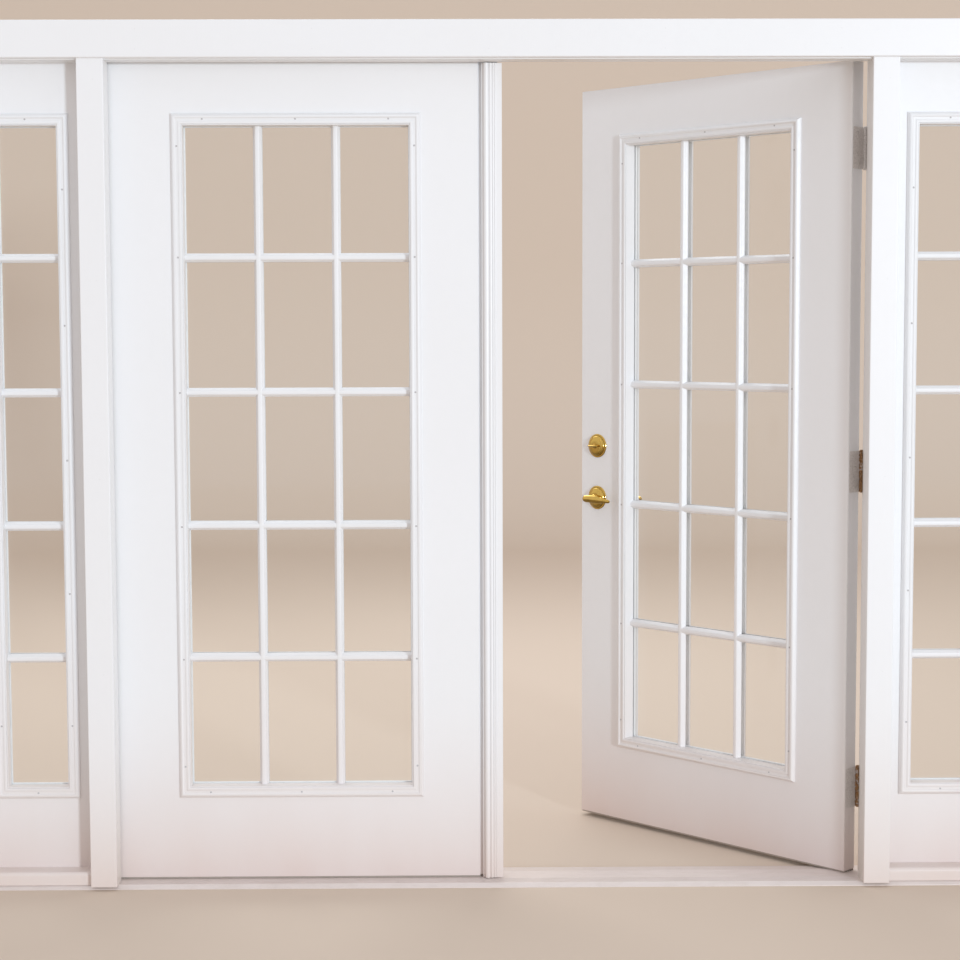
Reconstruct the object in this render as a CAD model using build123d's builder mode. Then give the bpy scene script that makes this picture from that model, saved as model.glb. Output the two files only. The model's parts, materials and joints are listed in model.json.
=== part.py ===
from build123d import *
from math import cos, pi, sin
import os

# French door unit: a pair of outswing leaves between two fixed sidelights, in one frame.
# The viewer stands inside. +X is right, +Y is away from the viewer, to the outside, +Z is up.
# The origin is on the floor, midway between the outer jambs, on the inside face of the closed leaves.
# Leaf pieces are drawn for the left, closed leaf. The right leaf's are their mirror image,
# swung open about the hinge pins. All sizes are in millimetres.

# Leaves
LEAF_WIDTH = 899.0
LEAF_HEIGHT = 2007.0
LEAF_THICK = 44.5
LEAF_ARRIS = 1.5
EDGE_GAP = 3.0            # from a leaf to the rabbet, at the hinges and at the head
LEAF_SPACING = 50.0       # between the lock edges of the closed leaves
SILL_CLEAR = 5.0          # under a leaf
OPEN_ANGLE = 46.5         # how far the right leaf stands open

# Glazed inserts, and the slab that shows round them
LOCK_STILE = 139.5
HINGE_STILE = 153.5
PANEL_STILE = 48.0
TOP_RAIL = 126.0
BOTTOM_RAIL = 201.0
LITE_BORDER = 29.0        # from the insert's outer edge to the glass in view
FLANGE_LAP = 19.0         # how much of the border lies on the slab
FLANGE_EDGE = 3.5         # border's height at its outer edge
FLANGE_RISE = 6.5         # and where the bead starts
BEAD_START = 15.0
BEAD_EASE = 3.5           # width of each of its bevels
BEAD_HEIGHT = 11.0
BEAD_LIP = 7.5            # height beside the glass
CUTOUT_CLEAR = 1.0        # from the insert's wall to the slab
BAR_WIDTH = 21.5
BAR_FRONT = 14.0          # flat front of a glazing bar
BAR_FOOT = 4.0            # square part of its sides
BAR_PROUD = 14.0          # its front above the glass
LITE_COLUMNS = 3
LITE_ROWS = 5
GLASS_SET_BACK = 28.0     # from the inside face of a slab to the glass
GLASS_THICK = 12.7
GLASS_BITE = 6.0          # how far the glass runs in behind the border

# Frame
FRAME_FRONT = 60.0        # from the closed leaves' inside face to the jambs' inside edge
FRAME_BACK = 46.0
JAMB_THICK = 19.0
MULLION_WEB = 40.0
DOOR_STOP = 9.0           # stop's height above the rabbet, beside a leaf
LIGHT_STOP = 15.0         # beside a sidelight, on a mullion
JAMB_STOP = 14.0          # beside a sidelight, on an outer jamb
HEAD_STOP = 9.0
STOP_CLEAR = 8.0          # from a door stop to the leaf's face
STOP_ARRIS = 1.5
PANEL_WIDTH = 302.0
PANEL_GAP = 1.5

# Sill and trim
SILL_HEIGHT = 10.0
SILL_NOSE = 12.0          # bevel along the inside edge
SILL_NOSE_FOOT = 2.0
SILL_OUT = 110.0
SILL_FALL = 54.0          # where the outside slope starts
SILL_LIP = 4.0
SILL_GROOVES = 4
SILL_GROOVE_WIDTH = 3.0
SILL_GROOVE_DEPTH = 1.0
SILL_GROOVE_PITCH = 9.0
CASING_WIDTH = 89.0
CASING_THICK = 17.0
CASING_REVEAL = 3.0
CASING_ROUND = 3.0
COVER_THICK = 11.0
COVER_ROUND = 2.0
BASE_HEIGHT = 32.0
BASE_DEPTH = 52.0
BASE_ROUND = 9.0
MOULD_WIDTH = 50.0
MOULD_THICK = 32.0
MOULD_THIN = 16.0         # at the edge beside the doorway
MOULD_REVEAL = 5.0
MOULD_BEAD = 12.0
MOULD_COVE = 4.0          # from the back band to the middle of the cove

# Seals
SEAL_WIDTH = 4.0
SEAL_INSET = 1.5          # from a stop's edge
SEAL_TOUCH = 0.3          # air left where a seal closes on a leaf or the sill
SWEEP_DEPTH = 36.0
SWEEP_BASE = 1.8
SWEEP_FIN = 2.0
SWEEP_FINS = 5

# Hinges
HINGE_HEIGHT = 102.0
HINGE_THICK = 2.5
HINGE_LEAF = 38.0         # from the pin to the plate's far edge
HINGE_END = 209.0         # from a leaf's end to the middle of the nearest hinge
KNUCKLE_RADIUS = 6.0
KNUCKLES = 5
KNUCKLE_GAP = 0.3
PLATE_CLEAR = 0.6         # round the other plate's knuckles
PIN_RADIUS = 3.0
PIN_CLEAR = 0.05
BARREL_SIDES = 10         # few sides: the unit has thirty knuckles and six pins
PIN_OUT = 8.0             # from the leaf's outside face to the pin's centre
PIN_HEAD = 2.5
PIN_HEAD_RADIUS = 4.5

# Astragal on the left leaf's lock edge
ASTRAGAL_GAP = 3.0        # to the closed right leaf
ASTRAGAL_GROOVE = 7.5
ASTRAGAL_GROOVE_DEPTH = 9.0
ASTRAGAL_FILLET = 5.0
ASTRAGAL_FILLET_PROUD = 3.0
ASTRAGAL_REEDS = (13.0, 8.0, 5.0, 4.0)
REED_SEAT = 9.5           # from the leaves' face to the valleys between the reeds
REED_RISE = 0.36          # a reed's height over its width
ASTRAGAL_LAP = 7.0        # flange over the right leaf
ASTRAGAL_SEAT = 5.5       # from the leaves' face to the flange
FLANGE_THICK = 3.0
ASTRAGAL_END = 2.0        # from the face piece to the head stop and to the sill

# Lock on the right leaf
BACKSET = 60.0
LEVER_UP = 890.0          # above the slab's lower edge
LOCK_SPACING = 144.0      # from the lever's bore up to the deadbolt's
CROSS_BORE = 27.0
EDGE_BORE = 12.5
ROSE_RADIUS = 32.5
ROSE_THICK = 9.0
ROSE_RIM = 2.5
ROSE_BEVEL = 8.0
CASE_CLEAR = 0.5
CASE_LENGTH = 38.0
PLATE_HEIGHT = 57.0
PLATE_WIDTH = 25.0
PLATE_THICK = 2.5
SLIDE_CLEAR = 0.1
TURN_CLEAR = 0.06
LATCH_THROW = 12.0
LATCH_WIDTH = 12.0
LATCH_HEIGHT = 14.0
LATCH_LENGTH = 30.0
LATCH_BEVEL = 9.0
BOLT_THROW = 25.0
BOLT_WIDTH = 11.0
BOLT_HEIGHT = 16.0
BOLT_LENGTH = 36.0
BOLT_ROUND = 1.0
SPINDLE = 8.0
NECK_RADIUS = 8.5
LEVER_OUT = 50.0          # from the leaf to the middle of the lever
LEVER_LENGTH = 104.0
LEVER_DROP = 11.0
LEVER_BEND = 6.0          # how far its tip comes back towards the leaf
LEVER_SIDES = 12          # flats round the arm
LEVER_STATIONS = (        # along, drop (both as shares), height and depth of the arm
    (-0.10, 0.0, 15.0, 13.0),
    (0.10, 0.0, 17.0, 13.0),
    (0.40, 0.25, 13.0, 11.0),
    (0.94, 1.0, 11.5, 9.0),
    (1.0, 1.05, 6.0, 6.0),
)
TURN_NECK = 5.5
TURN_OUT = 15.0           # from the rose to the paddle's far edge
TURN_WIDTH = 32.0
TURN_THICK = 5.0
TURN_CORNER_WIDE = 8.0    # its cut-off corners
TURN_CORNER_DEEP = 5.0
TAILPIECE = 4.0
CYLINDER_RADIUS = 24.0
CYLINDER_THICK = 14.0
CYLINDER_RIM = 1.5
PLUG_RADIUS = 8.0
KEYWAY = 2.0
KEYWAY_DEPTH = 3.0
LOCK_SIDES = 24           # flats of the round pieces on the bores
PLUG_PROUD = 1.0
POCKET_CLEAR = 1.5        # round a bolt in the astragal

# Flush bolts in the astragal
RAIL_LENGTH = 200.0
RAIL_WIDTH = 12.0
RAIL_NECK = 7.0           # narrower front, held back by the lips of the slot
RAIL_THICK = 6.0
RAIL_LIP = 2.5
RAIL_BACK = 1.0           # bolt's end inside the astragal
RAIL_THUMB = 1.0
FLUSH_THROW_UP = 16.0
FLUSH_THROW_DOWN = 11.0
STRIKE_THICK = 1.5
STRIKE_MARGIN = 9.0

# Places worked out from the sizes above
RABBET = LEAF_SPACING / 2 + LEAF_WIDTH + EDGE_GAP
HINGE_EDGE = EDGE_GAP - RABBET
LOCK_EDGE = -LEAF_SPACING / 2
LEAF_FOOT = SILL_HEIGHT + SILL_CLEAR
LEAF_TOP = LEAF_FOOT + LEAF_HEIGHT
HEAD = LEAF_TOP + EDGE_GAP
HEAD_STOP_EDGE = HEAD - HEAD_STOP
MULLION_IN = RABBET - DOOR_STOP
LIGHT_RABBET = RABBET + MULLION_WEB
MULLION_OUT = LIGHT_RABBET + LIGHT_STOP
JAMB = LIGHT_RABBET + PANEL_WIDTH + 2 * PANEL_GAP
JAMB_BACK = JAMB + JAMB_THICK
JAMB_IN = JAMB - JAMB_STOP
PANEL_MIDDLE = -(LIGHT_RABBET + JAMB) / 2
CASING_FOOT = HEAD_STOP_EDGE + CASING_REVEAL
CASING_IN = JAMB_IN + CASING_REVEAL
CASING_OUT = CASING_IN + CASING_WIDTH
MOULD_IN = JAMB + MOULD_REVEAL
MOULD_OUT = MOULD_IN + MOULD_WIDTH
MOULD_FOOT = HEAD + MOULD_REVEAL
LITE_TOP = LEAF_TOP - TOP_RAIL
LITE_FOOT = LEAF_FOOT + BOTTOM_RAIL
LITE_HEIGHT = LITE_TOP - LITE_FOOT
LITE_WIDTH = LEAF_WIDTH - HINGE_STILE - LOCK_STILE
LITE_MIDDLE = (HINGE_EDGE + HINGE_STILE + LOCK_EDGE - LOCK_STILE) / 2
PANEL_LITE_WIDTH = PANEL_WIDTH - 2 * PANEL_STILE
GLASS_BACK = GLASS_SET_BACK + GLASS_THICK
MID_THICK = LEAF_THICK / 2
PIN_X = RABBET - EDGE_GAP / 2
PIN_Y = LEAF_THICK + PIN_OUT
HINGE_HEIGHTS = (LEAF_FOOT + HINGE_END, (LEAF_FOOT + LEAF_TOP) / 2, LEAF_TOP - HINGE_END)
BORE_X = LOCK_EDGE - BACKSET
LEVER_Z = LEAF_FOOT + LEVER_UP
BOLT_Z = LEVER_Z + LOCK_SPACING
ASTRAGAL_RIGHT = -LOCK_EDGE - ASTRAGAL_GAP
ASTRAGAL_LIP = -LOCK_EDGE + ASTRAGAL_LAP
LOCK_BOLTS = (
    (LEVER_Z, LATCH_HEIGHT, LATCH_WIDTH, LATCH_THROW),
    (BOLT_Z, BOLT_HEIGHT, BOLT_WIDTH, BOLT_THROW),
)
RIGHT_PIN = Axis((PIN_X, PIN_Y, 0), (0, 0, 1))


def block(x, y, z, mode=Mode.ADD):
    """A block between two corners, in the part that is being built."""
    middle = ((x[0] + x[1]) / 2, (y[0] + y[1]) / 2, (z[0] + z[1]) / 2)
    with Locations(middle):
        Box(x[1] - x[0], y[1] - y[0], z[1] - z[0], mode=mode)


def about(middle, width):
    """The span of a width about its middle."""
    return (middle - width / 2, middle + width / 2)


def mirrored(piece):
    """The same piece on the right side of the unit."""
    with BuildPart() as right:
        add(mirror(piece.part, about=Plane.YZ, mode=Mode.PRIVATE))
    return right


def swung(piece):
    """The same piece on the right leaf, where the leaf stands open."""
    with BuildPart() as right:
        add(mirror(piece.part, about=Plane.YZ, mode=Mode.PRIVATE).rotate(RIGHT_PIN, -OPEN_ANGLE))
    return right


def write(piece, name):
    """Label a finished piece and write its file."""
    piece.part.label = name
    export_step(piece.part, f"parts/{name}.step")


# Frame: jambs, mullions, head and sill
def stopped_post(outline):
    """An upright of the frame, from its section, standing on the sill under the head."""
    with BuildPart() as post:
        with BuildSketch(Plane.XY.offset(SILL_HEIGHT)):
            with BuildLine():
                Polyline(*outline, close=True)
            make_face()
        extrude(amount=HEAD - SILL_HEIGHT)
        stop_edges = post.edges().filter_by(Axis.Z).group_by(Axis.Y)[0]
        fillet(stop_edges, STOP_ARRIS)
    return post


def left_mullion():
    """The post between a leaf and a sidelight, with a stop on each side and hinge mortises."""
    outline = [
        (-MULLION_OUT, -FRAME_FRONT),
        (-MULLION_IN, -FRAME_FRONT),
        (-MULLION_IN, -STOP_CLEAR),
        (-RABBET, -STOP_CLEAR),
        (-RABBET, FRAME_BACK),
        (-LIGHT_RABBET, FRAME_BACK),
        (-LIGHT_RABBET, 0),
        (-MULLION_OUT, 0),
    ]
    with BuildPart() as mullion:
        add(stopped_post(outline).part)
        for height in HINGE_HEIGHTS:
            block(
                (-RABBET - HINGE_THICK, -RABBET),
                (PIN_Y - HINGE_LEAF, FRAME_BACK),
                about(height, HINGE_HEIGHT),
                Mode.SUBTRACT,
            )
    return mullion


def left_jamb():
    """The outer upright, with the stop that a sidelight sits against."""
    return stopped_post([
        (-JAMB_BACK, -FRAME_FRONT),
        (-JAMB_IN, -FRAME_FRONT),
        (-JAMB_IN, 0),
        (-JAMB, 0),
        (-JAMB, FRAME_BACK),
        (-JAMB_BACK, FRAME_BACK),
    ])


def flush_bolt_rail(foot, top, clear, mode=Mode.ADD):
    """A flush bolt's stepped rail, or with clearance the slot that it slides in."""
    neck = RAIL_THICK - RAIL_LIP
    wide = about(MID_THICK, RAIL_WIDTH + 2 * clear)
    narrow = about(MID_THICK, RAIL_NECK + 2 * clear)
    block((ASTRAGAL_RIGHT - RAIL_THICK - clear, ASTRAGAL_RIGHT - RAIL_LIP), wide, (foot, top), mode)
    block((ASTRAGAL_RIGHT - neck, ASTRAGAL_RIGHT), narrow, (foot, top), mode)


def strike_hole(foot, top, mode=Mode.SUBTRACT):
    """The hole that takes a flush bolt's end, in the head, the sill or a strike plate."""
    across = (ASTRAGAL_RIGHT - RAIL_THICK - POCKET_CLEAR, ASTRAGAL_RIGHT + POCKET_CLEAR)
    block(across, about(MID_THICK, RAIL_WIDTH + 2 * POCKET_CLEAR), (foot, top), mode)


def strike_plate(foot, top, mode=Mode.ADD):
    """A flush bolt's strike plate, or its recess."""
    middle = ASTRAGAL_RIGHT - RAIL_THICK / 2
    across = about(middle, RAIL_THICK + 2 * STRIKE_MARGIN)
    block(across, about(MID_THICK, RAIL_WIDTH + 2 * STRIKE_MARGIN), (foot, top), mode)


def head_jamb():
    """The board over the leaves and sidelights, with a stop in each bay."""
    with BuildPart() as head:
        block((-JAMB_BACK, JAMB_BACK), (-FRAME_FRONT, FRAME_BACK), (HEAD, HEAD + JAMB_THICK))
        block((-MULLION_IN, MULLION_IN), (-FRAME_FRONT, -STOP_CLEAR), (HEAD_STOP_EDGE, HEAD))
        for bay in ((-JAMB_IN, -MULLION_OUT), (MULLION_OUT, JAMB_IN)):
            block(bay, (-FRAME_FRONT, 0), (HEAD_STOP_EDGE, HEAD))
        strike_plate(HEAD, HEAD + STRIKE_THICK, Mode.SUBTRACT)
        strike_hole(HEAD, HEAD + FLUSH_THROW_UP)
    return head


def sill():
    """The saddle under the whole unit: bevelled inside, sloping outside, with horns for the moulds."""
    nose = SILL_NOSE - FRAME_FRONT
    with BuildPart() as saddle:
        with BuildSketch(Plane.YZ):
            with BuildLine():
                Polyline(
                    (-FRAME_FRONT, 0),
                    (SILL_OUT, 0),
                    (SILL_OUT, SILL_LIP),
                    (SILL_FALL, SILL_HEIGHT),
                    (nose, SILL_HEIGHT),
                    (-FRAME_FRONT, SILL_NOSE_FOOT),
                    close=True,
                )
            make_face()
            for groove in range(SILL_GROOVES):
                with Locations((nose + SILL_GROOVE_PITCH * (groove + 1), SILL_HEIGHT)):
                    Rectangle(SILL_GROOVE_WIDTH, 2 * SILL_GROOVE_DEPTH, mode=Mode.SUBTRACT)
        extrude(amount=MOULD_OUT, both=True)
        for end in ((-MOULD_OUT, -JAMB_BACK), (JAMB_BACK, MOULD_OUT)):
            block(end, (-FRAME_FRONT, FRAME_BACK), (0, SILL_HEIGHT), Mode.SUBTRACT)
        strike_plate(SILL_HEIGHT - STRIKE_THICK, SILL_HEIGHT, Mode.SUBTRACT)
        strike_hole(LEAF_FOOT - FLUSH_THROW_DOWN, SILL_HEIGHT)
    return saddle


# Trim
def board(x, y, z, edge_axis, radius):
    """A flat board with its front long edges rounded."""
    with BuildPart() as trim:
        block(x, y, z)
        front = trim.edges().filter_by(edge_axis).group_by(Axis.Y)[0]
        fillet(front, radius)
    return trim


def head_casing():
    """The wide board over the whole unit, inside."""
    depth = (-FRAME_FRONT - CASING_THICK, -FRAME_FRONT)
    return board((-CASING_OUT, CASING_OUT), depth, (CASING_FOOT, CASING_FOOT + CASING_WIDTH), Axis.X, CASING_ROUND)


def left_casing():
    """The board down an outer jamb, inside."""
    depth = (-FRAME_FRONT - CASING_THICK, -FRAME_FRONT)
    return board((-CASING_OUT, -CASING_IN), depth, (0, CASING_FOOT), Axis.Z, CASING_ROUND)


def left_mullion_cover():
    """The flat strip over a mullion's inside edge."""
    depth = (-FRAME_FRONT - COVER_THICK, -FRAME_FRONT)
    return board((-MULLION_OUT, -MULLION_IN), depth, (SILL_HEIGHT, CASING_FOOT), Axis.Z, COVER_ROUND)


def left_sidelight_base():
    """The shoe in front of a sidelight's bottom rail, with a rounded top edge."""
    with BuildPart() as shoe:
        block((-JAMB_IN, -MULLION_OUT), (-BASE_DEPTH, 0), (SILL_HEIGHT, SILL_HEIGHT + BASE_HEIGHT))
        top_front = shoe.edges().filter_by(Axis.X).group_by(Axis.Y)[0].sort_by(Axis.Z)[-1]
        fillet(top_front, BASE_ROUND)
    return shoe


def brickmould(section_plane, length):
    """Outside mould: thin beside the doorway, a cove, then a square back band."""
    shoulder = MOULD_WIDTH - MOULD_BEAD
    rise = (MOULD_THIN + MOULD_THICK) / 2
    with BuildPart() as mould:
        with BuildSketch(section_plane):
            with BuildLine():
                Polyline((0, MOULD_THIN), (0, 0), (MOULD_WIDTH, 0), (MOULD_WIDTH, MOULD_THICK))
                Line((MOULD_WIDTH, MOULD_THICK), (shoulder, MOULD_THICK))
                ThreePointArc((shoulder, MOULD_THICK), (shoulder - MOULD_COVE, rise), (MOULD_BEAD, MOULD_THIN))
                Line((MOULD_BEAD, MOULD_THIN), (0, MOULD_THIN))
            make_face()
        extrude(amount=length)
    return mould


def brickmould_left():
    """The mould up an outer jamb, outside."""
    corner = Plane(origin=(-MOULD_IN, FRAME_BACK, SILL_HEIGHT), x_dir=(-1, 0, 0), z_dir=(0, 0, -1))
    return brickmould(corner, SILL_HEIGHT - MOULD_FOOT)


def brickmould_head():
    """The mould along the head, outside, over the side moulds."""
    corner = Plane(origin=(-MOULD_OUT, FRAME_BACK, MOULD_FOOT), x_dir=(0, 0, 1), z_dir=(-1, 0, 0))
    return brickmould(corner, -2 * MOULD_OUT)


# Seals
def seal(plane, width, height, length):
    """A strip with a rounded lip."""
    with BuildPart() as strip:
        with BuildSketch(plane):
            with BuildLine():
                Polyline((0, height - width / 2), (0, 0), (width, 0), (width, height - width / 2))
                ThreePointArc((width, height - width / 2), (width / 2, height), (0, height - width / 2))
            make_face()
        extrude(amount=length)
    return strip


def left_weatherstrip():
    """The seal down a mullion's door stop."""
    corner = (-MULLION_IN - SEAL_INSET, -STOP_CLEAR, SILL_HEIGHT)
    plane = Plane(origin=corner, x_dir=(-1, 0, 0), z_dir=(0, 0, -1))
    return seal(plane, SEAL_WIDTH, STOP_CLEAR - SEAL_TOUCH, SILL_HEIGHT - HEAD_STOP_EDGE - SEAL_INSET)


def head_weatherstrip():
    """The seal along the head stop over both leaves."""
    reach = MULLION_IN + SEAL_INSET + SEAL_WIDTH
    plane = Plane(origin=(-reach, -STOP_CLEAR, HEAD_STOP_EDGE + SEAL_INSET), x_dir=(0, 0, 1), z_dir=(-1, 0, 0))
    return seal(plane, SEAL_WIDTH, STOP_CLEAR - SEAL_TOUCH, -2 * reach)


def astragal_seal():
    """The seal behind the astragal's flange, which closes on the right leaf."""
    foot = LEAF_FOOT
    plane = Plane(origin=(ASTRAGAL_LIP - SEAL_INSET, -ASTRAGAL_SEAT, foot), x_dir=(-1, 0, 0), z_dir=(0, 0, -1))
    return seal(plane, SEAL_WIDTH, ASTRAGAL_SEAT - SEAL_TOUCH, foot - HEAD_STOP_EDGE + ASTRAGAL_END)


def left_sweep():
    """The finned strip under a leaf."""
    fin_foot = SILL_HEIGHT + SEAL_TOUCH
    step = (SWEEP_DEPTH - SWEEP_FIN) / (SWEEP_FINS - 1)
    with BuildPart() as sweep_strip:
        block((HINGE_EDGE, LOCK_EDGE), about(MID_THICK, SWEEP_DEPTH), (LEAF_FOOT - SWEEP_BASE, LEAF_FOOT))
        for fin in range(SWEEP_FINS):
            middle = MID_THICK + step * (fin - (SWEEP_FINS - 1) / 2)
            block((HINGE_EDGE, LOCK_EDGE), about(middle, SWEEP_FIN), (fin_foot, LEAF_FOOT - SWEEP_BASE))
    return sweep_strip


# Glazing
def lite_frame(middle, width, columns, face, glass, out):
    """One side of a glazed insert: the moulded border on the slab's face, and the glazing bars.

    face and glass are the slab's and the glass's surfaces, and out is -1 inside and 1 outside."""
    side = width / 2
    wall = abs(glass - face)
    insert = FLANGE_LAP + CUTOUT_CLEAR
    light_width = (width - 2 * LITE_BORDER - (columns - 1) * BAR_WIDTH) / columns
    light_height = (LITE_HEIGHT - 2 * LITE_BORDER - (LITE_ROWS - 1) * BAR_WIDTH) / LITE_ROWS
    bar = [
        (-BAR_WIDTH / 2, 0),
        (-BAR_WIDTH / 2, BAR_FOOT),
        (-BAR_FRONT / 2, BAR_PROUD),
        (BAR_FRONT / 2, BAR_PROUD),
        (BAR_WIDTH / 2, BAR_FOOT),
        (BAR_WIDTH / 2, 0),
    ]
    with BuildPart() as frame:
        with BuildLine() as outer_edge:
            Polyline(
                (middle, face, LITE_FOOT),
                (middle + side, face, LITE_FOOT),
                (middle + side, face, LITE_TOP),
                (middle - side, face, LITE_TOP),
                (middle - side, face, LITE_FOOT),
                (middle, face, LITE_FOOT),
            )
        with BuildSketch(Plane(origin=(middle, face, LITE_FOOT), x_dir=(0, 0, 1), z_dir=(-out, 0, 0))):
            with BuildLine():
                Polyline(
                    (0, 0),
                    (insert, 0),
                    (insert, -wall),
                    (LITE_BORDER, -wall),
                    (LITE_BORDER, BEAD_LIP),
                    (LITE_BORDER - BEAD_EASE, BEAD_HEIGHT),
                    (BEAD_START + BEAD_EASE, BEAD_HEIGHT),
                    (BEAD_START, FLANGE_RISE),
                    (0, FLANGE_EDGE),
                    close=True,
                )
            make_face()
        sweep(path=outer_edge.line, transition=Transition.RIGHT)
        for column in range(1, columns):
            across = middle - side + LITE_BORDER + column * light_width + (column - 0.5) * BAR_WIDTH
            with BuildSketch(Plane.XY.offset(LITE_FOOT + insert)):
                with BuildLine():
                    Polyline(*[(across + x, glass + out * y) for x, y in bar], close=True)
                make_face()
            extrude(amount=LITE_HEIGHT - 2 * insert)
        for row in range(1, LITE_ROWS):
            up = LITE_FOOT + LITE_BORDER + row * light_height + (row - 0.5) * BAR_WIDTH
            with BuildSketch(Plane.YZ.offset(middle - side + insert)):
                with BuildLine():
                    Polyline(*[(glass + out * y, up + x) for x, y in bar], close=True)
                make_face()
            extrude(amount=width - 2 * insert)
    return frame


def inside_frame(middle, width, columns):
    """The border and bars on the side of the room."""
    return lite_frame(middle, width, columns, 0, GLASS_SET_BACK, -1)


def outside_frame(middle, width, columns):
    """The border and bars outside."""
    return lite_frame(middle, width, columns, LEAF_THICK, GLASS_BACK, 1)


def glass_pane(middle, width):
    """The sealed glass unit, held at its edges between the two borders."""
    border = LITE_BORDER - GLASS_BITE
    with BuildPart() as pane:
        block(
            about(middle, width - 2 * border),
            (GLASS_SET_BACK, GLASS_BACK),
            (LITE_FOOT + border, LITE_TOP - border),
        )
    return pane


# Slabs
def slab(left, right, foot, lite_middle, lite_width):
    """A flush door slab with eased long edges and the cut-out for its insert."""
    cut = lite_width - 2 * FLANGE_LAP
    with BuildPart() as door:
        block((left, right), (0, LEAF_THICK), (foot, LEAF_TOP))
        chamfer(door.edges().filter_by(Axis.Z), LEAF_ARRIS)
        block(
            about(lite_middle, cut),
            (0, LEAF_THICK),
            (LITE_FOOT + FLANGE_LAP, LITE_TOP - FLANGE_LAP),
            Mode.SUBTRACT,
        )
    return door


def leaf_slab():
    """A leaf's slab, with mortises for its hinges."""
    with BuildPart() as leaf:
        add(slab(HINGE_EDGE, LOCK_EDGE, LEAF_FOOT, LITE_MIDDLE, LITE_WIDTH).part)
        for height in HINGE_HEIGHTS:
            block(
                (HINGE_EDGE, HINGE_EDGE + HINGE_THICK),
                (PIN_Y - HINGE_LEAF, LEAF_THICK),
                about(height, HINGE_HEIGHT),
                Mode.SUBTRACT,
            )
    return leaf


def lock_slab():
    """The slab that carries the lock, with its bores and the recesses for the faceplates."""
    with BuildPart() as leaf:
        add(leaf_slab().part)
        for height in (LEVER_Z, BOLT_Z):
            with Locations((BORE_X, MID_THICK, height)):
                Cylinder(CROSS_BORE, LEAF_THICK, rotation=(90, 0, 0), mode=Mode.SUBTRACT)
            with Locations(((BORE_X + LOCK_EDGE) / 2, MID_THICK, height)):
                Cylinder(EDGE_BORE, BACKSET, rotation=(0, 90, 0), mode=Mode.SUBTRACT)
            block(
                (LOCK_EDGE - PLATE_THICK, LOCK_EDGE),
                about(MID_THICK, PLATE_WIDTH),
                about(height, PLATE_HEIGHT),
                Mode.SUBTRACT,
            )
    return leaf


# Hinges
def barrel(radius, foot, length, mode=Mode.ADD, outside=True):
    """A many-sided barrel about the hinge's axis, drawn inside or outside its circle."""
    drawn = radius if outside else radius / cos(pi / BARREL_SIDES)
    with BuildSketch(Plane.XY.offset(foot)) as ring:
        with Locations((-PIN_X, PIN_Y)):
            RegularPolygon(drawn, BARREL_SIDES)
    extrude(ring.sketch, amount=length, mode=mode)


def hinge_plates(across, first, pinned):
    """One side's hinge plates, each with every second knuckle. The pinned ones carry the pins."""
    knuckle = HINGE_HEIGHT / KNUCKLES
    with BuildPart() as plates:
        for height in HINGE_HEIGHTS:
            foot = height - HINGE_HEIGHT / 2
            block(across, (PIN_Y - HINGE_LEAF, PIN_Y), (foot, foot + HINGE_HEIGHT))
            for number in range(KNUCKLES):
                low = foot + knuckle * number
                if number % 2 == first:
                    barrel(KNUCKLE_RADIUS, low + KNUCKLE_GAP / 2, knuckle - KNUCKLE_GAP)
                else:
                    notch = KNUCKLE_RADIUS + PLATE_CLEAR
                    block(about(-PIN_X, 2 * notch), about(PIN_Y, 2 * notch), (low, low + knuckle), Mode.SUBTRACT)
            if pinned:
                barrel(PIN_RADIUS, foot, HINGE_HEIGHT)
                for button in (foot - PIN_HEAD, foot + HINGE_HEIGHT):
                    barrel(PIN_HEAD_RADIUS, button, PIN_HEAD)
            else:
                barrel(PIN_RADIUS + PIN_CLEAR, foot, HINGE_HEIGHT, Mode.SUBTRACT, outside=False)
    return plates


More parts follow.
